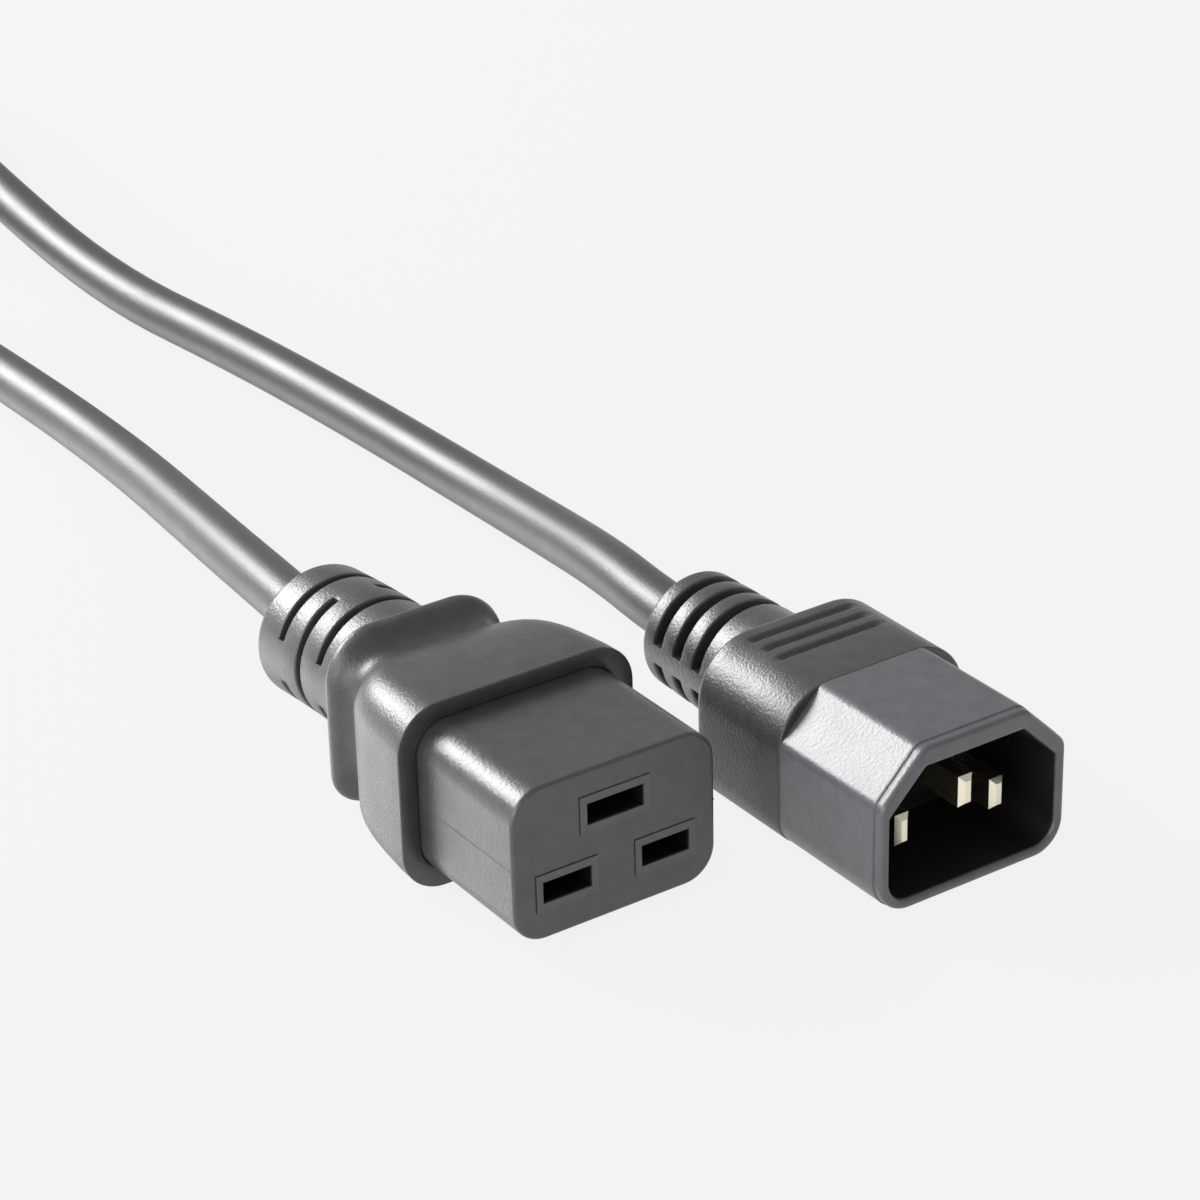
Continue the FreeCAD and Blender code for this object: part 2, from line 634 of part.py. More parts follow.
# The connector's grip, finger ridge and slotted boot, moulded in one over the nose and the cord
grip = new_body("connector_grip", "connector")
flange = new_sketch(grip, "XZ_Plane", "flange_outline", depth="Sheet.nose_length")
rounded_rectangle(flange, "Sheet.flange_width", "Sheet.flange_height", "Sheet.flange_corner")
hump = new_sketch(grip, "XZ_Plane", "hump_outline", depth=HUMP_REAR)
rounded_rectangle(hump, "Sheet.hump_width", HUMP_HEIGHT, "Sheet.hump_corner")
taper = grip.newObject("PartDesign::AdditiveLoft", "grip_taper")
taper.Profile = flange
taper.Sections = [hump]
taper.Ruled = True
doc.recompute()
crest = new_sketch(grip, "XZ_Plane", "crest_outline", depth=HUMP_REAR)
rounded_rectangle(crest, "Sheet.hump_width", HUMP_HEIGHT, "Sheet.hump_corner")
shoulder = new_sketch(grip, "XZ_Plane", "shoulder_outline", depth=SHOULDER_REAR)
rounded_rectangle(shoulder, SHOULDER_WIDTH, SHOULDER_HEIGHT, "Sheet.neck_corner")
neck = new_sketch(grip, "XZ_Plane", "neck_outline", depth=NECK_REAR)
rounded_rectangle(neck, NECK_WIDTH, NECK_HEIGHT, "Sheet.neck_corner")
root = new_sketch(grip, "XZ_Plane", "root_outline", depth="(%s + 0.5)" % RIDGE_FRONT)
rounded_rectangle(root, "(%s + 1.6)" % NECK_WIDTH, "(%s + 1.6)" % NECK_HEIGHT, "Sheet.neck_corner")
valley = grip.newObject("PartDesign::AdditiveLoft", "grip_valley")
valley.Profile = crest
valley.Sections = [shoulder, neck, root]
valley.Ruled = False
doc.recompute()
ridge = new_sketch(grip, "XZ_Plane", "ridge_outline", depth=RIDGE_FRONT)
rounded_rectangle(
    ridge,
    "Sheet.ridge_width",
    "(Sheet.flange_height / 2 + %s)" % RIDGE_TOP,
    "Sheet.ridge_corner",
    "Sheet.ridge_low_corner",
    "(%s / 2 - Sheet.flange_height / 4)" % RIDGE_TOP,
)
pad(grip, ridge, "ridge_plate", "Sheet.ridge_thickness")
ridge_side = size("ridge_width") / 2 - 1e-3
ridge_high = worked_out(RIDGE_TOP) - 1e-3
ridge_low = size("flange_height") / 2 - 1e-3


def ridge_rim(box):
    """The outer edges of the finger ridge, front and back."""
    side = max(-box.XMin, box.XMax) > ridge_side
    outer = side or box.ZMax > ridge_high or -box.ZMin > ridge_low
    return outer and (lies_at(RIDGE_FRONT)(box) or lies_at(RIDGE_REAR)(box))


round_edges(grip, "ridge_edge_round", "Sheet.ridge_edge", ridge_rim)
boot = new_sketch(grip, "XZ_Plane", "boot_section", depth="(%s - 0.5)" % RIDGE_REAR)
disc(boot, "Sheet.boot_diameter")
pad(grip, boot, "boot_length", "(Sheet.boot_length + 0.5)")
round_edges(grip, "boot_edge_cut", "Sheet.boot_edge", lies_at(BOOT_END), "PartDesign::Chamfer")
for row in range(3):
    depth = "(%s - Sheet.boot_end_band - %d * Sheet.boot_slot_pitch)" % (BOOT_END, row)
    ring_slots(
        grip,
        "boot_slots_%d" % (row + 1),
        depth,
        "Sheet.boot_slot_width",
        "Sheet.boot_diameter",
        "Sheet.boot_slot_depth",
        90.0 if row == 1 else 0.0,
        "Sheet.slot_angle",
    )
seat = new_sketch(grip, "XZ_Plane", "nose_seat_outline", depth="Sheet.nose_length")
rounded_rectangle(
    seat,
    "(%s + 2 * %s)" % (NOSE_WIDTH, GAP),
    "(Sheet.nose_height + 2 * %s)" % GAP,
    "(Sheet.nose_corner + %s)" % GAP,
)
pocket(grip, seat, "nose_seat_cut", "Sheet.nose_seat")
CORE_HOLE = "(Sheet.core_diameter + 2 * %s)" % GAP
for pole, place in CONNECTOR_POLES.items():
    hole = "grip_core_hole_" + pole
    core_run(grip, hole, "Pocket", place, NOSE_REAR, CORD_END, "Sheet.core_circle", CORE_HOLE)
jacket = new_sketch(grip, "XZ_Plane", "grip_jacket_hole", depth=CORD_END)
disc(jacket, JACKET_HOLE)
pocket(grip, jacket, "grip_jacket_cut", "(Sheet.cord_end_length + 1)")

# The plug's body and slotted boot, moulded in one over the plinth and the cord
body = new_body("plug_overmould", "plug")
outline = new_sketch(body, "XZ_Plane", "body_outline", depth="Sheet.hood_length")
rounded_rectangle(outline, BODY_WIDTH, "Sheet.hood_height", "Sheet.body_corner", "Sheet.body_low_corner")
pad(body, outline, "body_block", "Sheet.body_length")
round_edges(body, "body_edge_round", "Sheet.body_edge", lies_at(BODY_REAR))
boot = new_sketch(body, "XZ_Plane", "plug_boot_section", depth="(%s - 0.5)" % BODY_REAR)
disc(boot, "Sheet.plug_boot_diameter")
pad(body, boot, "plug_boot_length", "(Sheet.plug_boot_length + 0.5)")
round_edges(body, "plug_boot_edge_cut", "Sheet.boot_edge", lies_at(PLUG_BOOT_END), "PartDesign::Chamfer")
for row in range(3):
    depth = "(%s - Sheet.plug_end_band - %d * Sheet.plug_slot_pitch)" % (PLUG_BOOT_END, row)
    ring_slots(
        body,
        "plug_boot_slots_%d" % (row + 1),
        depth,
        "Sheet.plug_slot_width",
        "Sheet.plug_boot_diameter",
        "Sheet.plug_slot_depth",
        0.0,
        "Sheet.plug_slot_angle",
    )
for row in range(3):
    sketch = new_sketch(body, "YZ_Plane", "grip_groove_section_%d" % (row + 1))
    depth = "(%s - Sheet.groove_margin - %d * Sheet.groove_pitch)" % (BODY_REAR, row)
    rise = "(%s - Sheet.groove_depth / 2 + 0.5)" % HOOD_HALF
    tall = "(Sheet.groove_depth + 1)"
    rectangle(sketch, "Sheet.groove_width", tall, depth, rise, "a")
    rectangle(sketch, "Sheet.groove_width", tall, depth, "-" + rise, "b")
    groove = body.newObject("PartDesign::Pocket", "grip_groove_%d" % (row + 1))
    groove.Profile = sketch
    groove.Midplane = True
    groove.setExpression("Length", "Sheet.groove_length")
    doc.recompute()
seat = new_sketch(body, "XZ_Plane", "plinth_seat_outline", depth="Sheet.hood_length")
rounded_rectangle(
    seat,
    "(%s + 2 * %s)" % (PLINTH_WIDTH, GAP),
    "(Sheet.plinth_height + 2 * %s)" % GAP,
    "(Sheet.plinth_corner + %s)" % GAP,
)
pocket(body, seat, "plinth_seat_cut", "Sheet.plinth_length")
barrels = new_sketch(body, "XZ_Plane", "barrel_holes", depth="(%s - 0.5)" % PLINTH_REAR)
for pole, (x, z) in PLUG_POLES.items():
    disc(barrels, "(Sheet.barrel_diameter + 2 * %s)" % GAP, x, z, pole)
pocket(body, barrels, "barrel_hole_cut", "(%s + 0.5 - %s)" % (PLUG_BEND, PLINTH_REAR))
for pole, place in PLUG_POLES.items():
    hole = "core_hole_" + pole
    core_run(body, hole, "Pocket", place, PLUG_BEND, PLUG_CORD_END, "Sheet.plug_core_circle", CORE_HOLE)
jacket = new_sketch(body, "XZ_Plane", "jacket_hole", depth=PLUG_CORD_END)
disc(jacket, JACKET_HOLE)
pocket(body, jacket, "jacket_cut", "(Sheet.plug_cord_end_length + 1)")

# The spare cord: a neat flat coil, as one solid with a short straight tail for each end
REST = size("cord_diameter") / 2 + size("table_gap")
COIL_X = size("coil_centre_x")
COIL_Y = size("coil_centre_y")
TAIL_RADIUS = size("coil_mean_radius") + size("cord_diameter") - size("coil_tuck")
COIL_TOP = size("cord_diameter") * size("coil_layers")


def tail(angle, height, clockwise):
    """The start and the outward direction of a tail that leaves the coil at an angle."""
    turned = math.radians(angle)
    along = math.radians(angle - 90.0 if clockwise else angle + 90.0)
    start = Vector(COIL_X + TAIL_RADIUS * math.cos(turned), COIL_Y + TAIL_RADIUS * math.sin(turned), height)
    return start, Vector(math.cos(along), math.sin(along), 0)


TAILS = {
    "connector": tail(size("connector_tail_angle"), REST, False),
    "plug": tail(size("plug_tail_angle"), COIL_TOP - REST, True),
}
ring = doc.addObject("PartDesign::Body", "coil_ring")
section = new_sketch(ring, "XZ_Plane", "coil_section")
COIL_WIDTH = "(Sheet.cord_diameter * Sheet.coil_turns_across)"
COIL_HEIGHT = "(Sheet.cord_diameter * Sheet.coil_layers)"
rectangle(section, COIL_WIDTH, COIL_HEIGHT, "Sheet.coil_mean_radius", "%s / 2" % COIL_HEIGHT)
spin = ring.newObject("PartDesign::Revolution", "coil_turned")
spin.Profile = section
spin.ReferenceAxis = (section, ["V_Axis"])
spin.Angle = 360
doc.recompute()
rims = ["Edge%d" % (i + 1) for i, e in enumerate(spin.Shape.Edges) if isinstance(e.Curve, Part.Circle)]
ease = ring.newObject("PartDesign::Chamfer", "coil_edge_cut")
ease.Base = (spin, rims)
ease.setExpression("Size", "Sheet.coil_edge")
ring.setExpression("Placement.Base.x", "Sheet.coil_centre_x")
ring.setExpression("Placement.Base.y", "Sheet.coil_centre_y")
doc.recompute()
tubes = []
for side, (start, along) in TAILS.items():
    tube = doc.addObject("Part::Cylinder", "coil_tail_" + side)
    tube.setExpression("Radius", "Sheet.cord_diameter / 2")
    tube.setExpression("Height", "Sheet.coil_tail")
    tube.Placement = Placement(start, Rotation(Vector(0, 0, 1), along))
    tubes.append(tube)
coil = doc.addObject("Part::MultiFuse", "cord_coil")
coil.Label = "cord_coil"
coil.Shapes = [ring] + tubes
pieces.append(coil)
doc.recompute()

# The two lengths of cord between a boot and the coil. A way is given in cord diameters from the
# boot's end, with the height as a share of the way down from the boot to the table.
WAYS = {
    "connector": [
        (0.00, 1.99, 1.00),
        (0.51, 4.15, 0.67),
        (1.19, 6.31, 0.154),
        (1.46, 8.75, 0.0),
        (1.52, 12.53, 0.0),
        (1.39, 17.91, 0.0),
    ],
    "plug": [
        (0.00, 1.00, 1.00),
        (0.31, 2.96, 0.88),
        (0.78, 5.66, 0.38),
        (1.10, 8.36, 0.0),
        (1.02, 12.15, 0.0),
        (0.78, 16.74, 0.0),
        (0.16, 21.87, 0.03),
    ],
}
RUN_IN = {"connector": 3.4, "plug": 3.25}


def smooth_way(points):
    """Straight runs joined by tangent arcs, with the radius of each arc printed."""
    edges = []
    here = points[0]
    radii = []
    for before, corner, after in zip(points, points[1:], points[2:]):
        one = corner.sub(before)
        two = after.sub(corner)
        angle = one.getAngle(two)
        reach = 0.45 * min(one.Length, two.Length)
        radius = reach / math.tan(angle / 2)
        radii.append(round(radius, 1))
        leave = corner.sub(Vector(one).normalize().multiply(reach))
        meet = corner.add(Vector(two).normalize().multiply(reach))
        inward = meet.add(leave).multiply(0.5).sub(corner).normalize()
        centre = corner.add(inward.multiply(radius / math.cos(angle / 2)))
        middle = centre.add(corner.sub(centre).normalize().multiply(radius))
        edges.append(Part.LineSegment(here, leave).toShape())
        edges.append(Part.Arc(leave, middle, meet).toShape())
        here = meet
    edges.append(Part.LineSegment(here, points[-1]).toShape())
    print("bend radii", radii)
    return Part.Wire(edges)


for side, end in (("connector", BOOT_END), ("plug", PLUG_BOOT_END)):
    x, y, z = [worked_out(value) for value in PLACES[side]]
    across = size("cord_diameter")
    origin = Vector(x, y + worked_out(end), z)
    points = [origin]
    for step_x, step_y, share in WAYS[side]:
        points.append(Vector(origin.x + step_x * across, origin.y + step_y * across, REST + share * (z - REST)))
    start, along = TAILS[side]
    joint = start.add(Vector(along).multiply(size("coil_tail")))
    points.append(joint.add(Vector(along).multiply(RUN_IN[side] * across)))
    points.append(joint)
    wire = smooth_way(points)
    spine = doc.addObject("Part::Feature", "cord_way_" + side)
    spine.Shape = wire
    ring_section = doc.addObject("Part::Circle", "cord_section_" + side)
    ring_section.setExpression("Radius", "Sheet.cord_diameter / 2")
    ring_section.Placement = Placement(origin, Rotation(Vector(0, 0, 1), Vector(0, 1, 0)))
    cord = doc.addObject("Part::Sweep", "cord_%s_side" % side)
    cord.Label = "cord_%s_side" % side
    cord.Sections = [ring_section]
    cord.Spine = (spine, ["Edge%d" % (i + 1) for i in range(len(wire.Edges))])
    cord.Solid = True
    doc.recompute()
    expected = math.pi * (across / 2) ** 2 * wire.Length
    print("cord_%s_side" % side, "length", round(wire.Length, 1), "volume", round(cord.Shape.Volume / expected, 4))
    pieces.append(cord)

# Every piece is checked and written out
doc.recompute()
for item in doc.Objects:
    for word in ("Invalid", "Error"):
        if word in item.State:
            raise RuntimeError("%s is %s" % (item.Name, word))
low = 1e9
for piece in pieces:
    shape = piece.Shape
    if shape.isNull() or not shape.isValid() or len(shape.Solids) != 1:
        raise RuntimeError("%s is not one valid solid" % piece.Label)
    low = min(low, shape.BoundBox.ZMin)
    shape.exportStep("parts/%s.step" % piece.Label)
    box = shape.BoundBox
    print("%-28s %9.1f mm3  %6.2f %6.2f  %6.2f %6.2f  %6.2f %6.2f" % (
        piece.Label, shape.Volume, box.XMin, box.XMax, box.YMin, box.YMax, box.ZMin, box.ZMax))
print(len(pieces), "pieces, lowest point", round(low, 4))
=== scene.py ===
import bpy
import math
from mathutils import Matrix, Vector


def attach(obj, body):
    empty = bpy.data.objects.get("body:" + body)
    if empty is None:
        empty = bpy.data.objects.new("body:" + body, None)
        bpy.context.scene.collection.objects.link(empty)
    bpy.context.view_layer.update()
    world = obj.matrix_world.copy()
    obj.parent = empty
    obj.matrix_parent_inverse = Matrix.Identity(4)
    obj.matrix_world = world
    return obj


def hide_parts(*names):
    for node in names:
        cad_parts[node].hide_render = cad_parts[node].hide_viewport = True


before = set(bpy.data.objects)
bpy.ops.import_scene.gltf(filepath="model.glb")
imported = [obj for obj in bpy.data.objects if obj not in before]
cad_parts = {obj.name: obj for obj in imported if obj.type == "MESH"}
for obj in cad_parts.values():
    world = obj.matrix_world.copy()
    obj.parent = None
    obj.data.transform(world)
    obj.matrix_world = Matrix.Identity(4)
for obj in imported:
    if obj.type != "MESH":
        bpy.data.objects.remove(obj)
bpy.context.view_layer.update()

# The camera stands in front and to the left of the two connectors and looks down at them, with a
# long lens and a slight tilt to one side, both given in radians.
scene = bpy.context.scene
scene.view_settings.view_transform = "Standard"
camera_data = bpy.data.cameras.new("camera")
camera_data.sensor_width = 36.0
camera_data.lens = 109.5
camera_data.clip_start = 0.01
camera_data.clip_end = 20.0
camera = bpy.data.objects.new("camera", camera_data)
scene.collection.objects.link(camera)
scene.camera = camera
heading = Vector((0.5558, 0.8313, 0.0))
look_down = 0.4736
tilt = -0.0259
sideways = Vector((heading.y, -heading.x, 0.0))
forward = heading * math.cos(look_down) + Vector((0, 0, -math.sin(look_down)))
upward = sideways.cross(forward)
camera_x = sideways * math.cos(tilt) + upward * math.sin(tilt)
camera_y = upward * math.cos(tilt) - sideways * math.sin(tilt)
turned = Matrix((camera_x, camera_y, -forward)).transposed().to_4x4()
camera.matrix_world = Matrix.Translation((-0.214558, -0.316753, 0.222369)) @ turned

# The cord: one round black jacket from the connector's boot to the plug's boot. Its spare length
# is wound into a neat coil behind the connectors, six turns in two layers, the first one outside.
CORD_WIDTH = 0.0074
CORD_LOW = 0.00372
CORD_HIGH = 0.01108
COIL_MIDDLE = (-0.0144, 0.2780)
COIL_START = 215.0
COIL_SWEEP = 2025.0
COIL_POINTS = 84
connector_run = [
    (-0.01798, 0.02135, 0.01205),
    (-0.01798, 0.03000, 0.01205),
    (-0.01780, 0.04250, 0.01120),
    (-0.01620, 0.05600, 0.01040),
    (-0.01438, 0.07100, 0.00930),
    (-0.01161, 0.08800, 0.00740),
    (-0.00900, 0.10500, 0.00560),
    (-0.00735, 0.12100, 0.00430),
    (-0.00680, 0.13800, 0.00372),
    (-0.00787, 0.17381, 0.00372),
    (-0.02020, 0.20903, 0.00372),
    (-0.03463, 0.22965, 0.00372),
]
plug_run = [
    (0.02437, 0.24270, 0.01108),
    (0.02020, 0.21902, 0.01108),
    (0.02161, 0.17596, 0.00392),
    (0.02620, 0.13800, 0.00372),
    (0.02797, 0.10404, 0.00372),
    (0.02857, 0.07599, 0.00372),
    (0.02620, 0.05601, 0.00621),
    (0.02272, 0.03603, 0.00948),
    (0.02043, 0.02152, 0.01027),
    (0.02043, 0.01412, 0.01027),
]
# Where along the winding the cord moves over to the next place in the coil, and how far out and
# how high that place is.
winding = [
    (0.0, 0.0449, CORD_LOW),
    (300.0, 0.0449, CORD_LOW),
    (360.0, 0.0375, CORD_LOW),
    (660.0, 0.0375, CORD_LOW),
    (720.0, 0.0301, CORD_LOW),
    (1010.0, 0.0301, CORD_LOW),
    (1080.0, 0.0301, CORD_HIGH),
    (1320.0, 0.0301, CORD_HIGH),
    (1380.0, 0.0375, CORD_HIGH),
    (1680.0, 0.0375, CORD_HIGH),
    (1740.0, 0.0449, CORD_HIGH),
    (2200.0, 0.0449, CORD_HIGH),
]


def place_in_coil(turned_by):
    """How far out and how high the cord lies after so many degrees of winding."""
    for (a0, r0, z0), (a1, r1, z1) in zip(winding, winding[1:]):
        if turned_by <= a1:
            share = max(0.0, (turned_by - a0) / (a1 - a0))
            share = share * share * (3 - 2 * share)
            return r0 + (r1 - r0) * share, z0 + (z1 - z0) * share
    return winding[-1][1:]


step = COIL_SWEEP / COIL_POINTS
coil_run = []
for k in range(COIL_POINTS + 2):
    turned_by = (k - 0.5) * step
    out, high = place_in_coil(turned_by)
    out /= math.cos(math.radians(step / 2))
    bearing = math.radians(COIL_START - turned_by)
    across = COIL_MIDDLE[0] + out * math.cos(bearing)
    back = COIL_MIDDLE[1] + out * math.sin(bearing)
    coil_run.append((across, back, high))
cord_points = connector_run + coil_run + plug_run
cord_curve = bpy.data.curves.new("cord", "CURVE")
cord_curve.dimensions = "3D"
line = cord_curve.splines.new("NURBS")
line.points.add(len(cord_points) - 1)
for point, place in zip(line.points, cord_points):
    point.co = (*place, 1.0)
line.order_u = 3
line.use_endpoint_u = True
line.resolution_u = 7
cord_curve.bevel_depth = CORD_WIDTH / 2
cord_curve.bevel_resolution = 8
cord_curve.use_fill_caps = True
cord = bpy.data.objects.new("cord", cord_curve)
scene.collection.objects.link(cord)


def moulded_skin():
    """Soft black plastic as it leaves a mould: faint clouds in the black, and a fine satin grain."""
    group = bpy.data.node_groups.new("moulded_skin", "ShaderNodeTree")
    sockets = group.interface
    sockets.new_socket("Colour", in_out="INPUT", socket_type="NodeSocketColor")
    for amount in ("Clouding", "Roughness", "Smudge", "Grain Size", "Grain", "Ripple"):
        sockets.new_socket(amount, in_out="INPUT", socket_type="NodeSocketFloat")
    sockets.new_socket("Colour", in_out="OUTPUT", socket_type="NodeSocketColor")
    sockets.new_socket("Roughness", in_out="OUTPUT", socket_type="NodeSocketFloat")
    sockets.new_socket("Normal", in_out="OUTPUT", socket_type="NodeSocketVector")
    nodes, links = group.nodes, group.links
    given = nodes.new("NodeGroupInput")
    result = nodes.new("NodeGroupOutput")
    place = nodes.new("ShaderNodeTexCoord")

    def noise(scale, detail):
        node = nodes.new("ShaderNodeTexNoise")
        node.inputs["Scale"].default_value = scale
        node.inputs["Detail"].default_value = detail
        links.new(place.outputs["Object"], node.inputs["Vector"])
        return node

    def about_zero(pattern):
        node = nodes.new("ShaderNodeMath")
        node.operation = "SUBTRACT"
        node.inputs[1].default_value = 0.5
        links.new(pattern.outputs["Fac"], node.inputs[0])
        return node

    clouds = about_zero(noise(420.0, 5.0))
    amount = nodes.new("ShaderNodeMath")
    amount.operation = "MULTIPLY"
    links.new(clouds.outputs[0], amount.inputs[0])
    links.new(given.outputs["Clouding"], amount.inputs[1])
    lift = nodes.new("ShaderNodeMath")
    lift.operation = "ADD"
    lift.inputs[1].default_value = 1.0
    links.new(amount.outputs[0], lift.inputs[0])
    tint = nodes.new("ShaderNodeVectorMath")
    tint.operation = "SCALE"
    links.new(given.outputs["Colour"], tint.inputs[0])
    links.new(lift.outputs[0], tint.inputs["Scale"])
    links.new(tint.outputs["Vector"], result.inputs["Colour"])
    smears = about_zero(noise(90.0, 3.0))
    rough = nodes.new("ShaderNodeMath")
    rough.operation = "MULTIPLY_ADD"
    links.new(smears.outputs[0], rough.inputs[0])
    links.new(given.outputs["Smudge"], rough.inputs[1])
    links.new(given.outputs["Roughness"], rough.inputs[2])
    links.new(rough.outputs[0], result.inputs["Roughness"])
    grain = nodes.new("ShaderNodeTexNoise")
    grain.inputs["Detail"].default_value = 2.0
    links.new(place.outputs["Object"], grain.inputs["Vector"])
    links.new(given.outputs["Grain Size"], grain.inputs["Scale"])
    waves = noise(160.0, 1.0)
    ripple = nodes.new("ShaderNodeBump")
    ripple.inputs["Distance"].default_value = 0.0004
    links.new(given.outputs["Ripple"], ripple.inputs["Strength"])
    links.new(waves.outputs["Fac"], ripple.inputs["Height"])
    bump = nodes.new("ShaderNodeBump")
    bump.inputs["Distance"].default_value = 0.00006
    links.new(given.outputs["Grain"], bump.inputs["Strength"])
    links.new(grain.outputs["Fac"], bump.inputs["Height"])
    links.new(ripple.outputs["Normal"], bump.inputs["Normal"])
    links.new(bump.outputs["Normal"], result.inputs["Normal"])
    return group


skin_group = moulded_skin()


def black_plastic(name, colour, clouding, roughness, smudge, grain_size, grain, ripple, specular):
    """A black plastic with the moulded skin, and its own sheen."""
    material = bpy.data.materials.new(name)
    material.use_nodes = True
    nodes, links = material.node_tree.nodes, material.node_tree.links
    shader = nodes["Principled BSDF"]
    shader.inputs["IOR"].default_value = 1.55
    shader.inputs["Specular IOR Level"].default_value = specular
    skin_node = nodes.new("ShaderNodeGroup")
    skin_node.node_tree = skin_group
    skin_node.inputs["Colour"].default_value = (*colour, 1.0)
    for amount, value in (
        ("Clouding", clouding),
        ("Roughness", roughness),
        ("Smudge", smudge),
        ("Grain Size", grain_size),
        ("Grain", grain),
        ("Ripple", ripple),
    ):
        skin_node.inputs[amount].default_value = value
    links.new(skin_node.outputs["Colour"], shader.inputs["Base Color"])
    links.new(skin_node.outputs["Roughness"], shader.inputs["Roughness"])
    links.new(skin_node.outputs["Normal"], shader.inputs["Normal"])
    return material


jacket = black_plastic(
    "jacket_black",
    (0.032, 0.0325, 0.033),
    clouding=0.7,
    roughness=0.42,
    smudge=0.12,
    grain_size=2600.0,
    grain=0.5,
    ripple=0.05,
    specular=0.6,
)
cord_curve.materials.append(jacket)
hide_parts("connector_cord_end", "cord_connector_side", "cord_coil", "cord_plug_side")
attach(cord, "root")

# The connector's grip: soft black plastic moulded in one over the nose and the end of the cord. It
# has a flange, a rounded hump, a finger ridge, and a round boot with slots that let it bend.
GRIP_PLACE = (-17.975, -24.675, 12.05)
FLANGE_FRONT = 19.65
FLANGE_WIDTH = 32.46
FLANGE_HEIGHT = 24.1
FLANGE_CORNER = 5.6
RIDGE_REAR = 42.45
RIDGE_WIDTH = 24.5
RIDGE_TALL = (22.2, 6.8)
RIDGE_LOW = (24.1, 4.5)
RIDGE_ROUND = 0.9
CORD_BORE = 7.5
BOOT_EDGE = 0.95
ROUND_COUNT = 192


def skin(name, rings, looped=False):
    """A closed surface of quads through rings of points in millimetres, each with as many points."""
    points = []
    faces = []
    count = len(rings[0])
    for ring in rings:
        points.extend(Vector(p) * 0.001 for p in ring)
    rows = len(rings) if looped else len(rings) - 1
    for i in range(rows):
        a = i * count
        b = ((i + 1) % len(rings)) * count
        for j in range(count):
            k = (j + 1) % count
            faces.append((a + j, a + k, b + k, b + j))
    if not looped:
        faces.append(tuple(reversed(range(count))))
        faces.append(tuple((len(rings) - 1) * count + j for j in range(count)))
    mesh = bpy.data.meshes.new(name)
    mesh.from_pydata([tuple(p) for p in points], [], faces)
    mesh.update()
    mesh.shade_smooth()
    mesh.set_sharp_from_angle(angle=math.radians(38))
    piece = bpy.data.objects.new(name, mesh)
    scene.collection.objects.link(piece)
    return piece


def rounded_reach(width, height, corner, bearing):
    """How far a rounded rectangle's outline is from its middle in one direction."""
    c, s = abs(math.cos(bearing)), abs(math.sin(bearing))
    w, h = width / 2, height / 2
    corner = min(corner, w, h)
    if c > 1e-9 and w * s / c <= h - corner:
        return w / c
    if s > 1e-9 and h * c / s <= w - corner:
        return h / s
    along = c * (w - corner) + s * (h - corner)
    return along + math.sqrt(max(0.0, along**2 - (w - corner) ** 2 - (h - corner) ** 2 + corner**2))


def station(place, depth, width, height, corner, cut=None, low=None):
    """One ring round the axis at a depth, with a cut that takes so much off it in each direction, and
    its own height and corner below the axis where low gives them."""
    ring = []
    for j in range(ROUND_COUNT):
        bearing = 2 * math.pi * j / ROUND_COUNT
        tall, round_off = low if low and bearing > math.pi else (height, corner)
        out = rounded_reach(width, tall, round_off, bearing)
        if cut:
            out -= cut(bearing)
        across = place[0] + out * math.cos(bearing)
        up = place[2] + out * math.sin(bearing)
        ring.append((across, place[1] + depth, up))
    return ring


def slot_cut(amount, turned_by, sweep):
    """Two slots facing each other across the boot, with a web on each side between them."""

    def cut(bearing):
        off = abs((math.degrees(bearing) - 90.0 - turned_by + 90.0) % 180.0 - 90.0)
        share = min(1.0, max(0.0, (sweep / 2 + 1.5 - off) / 3.0))
        return amount * share * share * (3 - 2 * share)

    return cut


def boot_rings(place, start, end, wide, narrow, sag, slots, sweep, width, slot_depth, bore_depth):
    """The rings of a round slotted boot, from its root to its rear face and back inside along the
    cord. It grows narrower and sags a little towards its end."""

    def ring(depth, inset=0.0, cut=None, bore=None):
        share = max(0.0, (depth - start) / (end - start))
        across = bore or wide + (narrow - wide) * share - 2 * inset
        lower = (place[0], place[1], place[2] - sag * share * share)
        return station(lower, depth, across, across, across / 2, cut)

    rings = [ring(start)]
    for middle, turned_by in slots:
        for off, amount in (
            (-0.30, 0.0),
            (-0.14, 0.03),
            (-0.03, 0.14),
            (0.0, 0.32),
            (0.05, slot_depth - 0.25),
            (0.25, slot_depth),
            (width - 0.25, slot_depth),
            (width - 0.05, slot_depth - 0.25),
            (width, 0.32),
            (width + 0.03, 0.14),
            (width + 0.14, 0.03),
            (width + 0.30, 0.0),
        ):
            rings.append(ring(middle - width / 2 + off, cut=slot_cut(amount, turned_by, sweep)))
    for k in range(9):
        angle = math.radians(90 * k / 8)
        rings.append(ring(end - BOOT_EDGE + BOOT_EDGE * math.sin(angle), BOOT_EDGE * (1 - math.cos(angle))))
    rings.append(ring(end, bore=CORD_BORE + 0.8))
    rings.append(ring(end - 0.1, bore=CORD_BORE + 0.2))
    for k in range(9):
        depth = end - 0.5 + (bore_depth - end + 0.5) * k / 8
        rings.append(ring(depth, bore=CORD_BORE))
    return rings


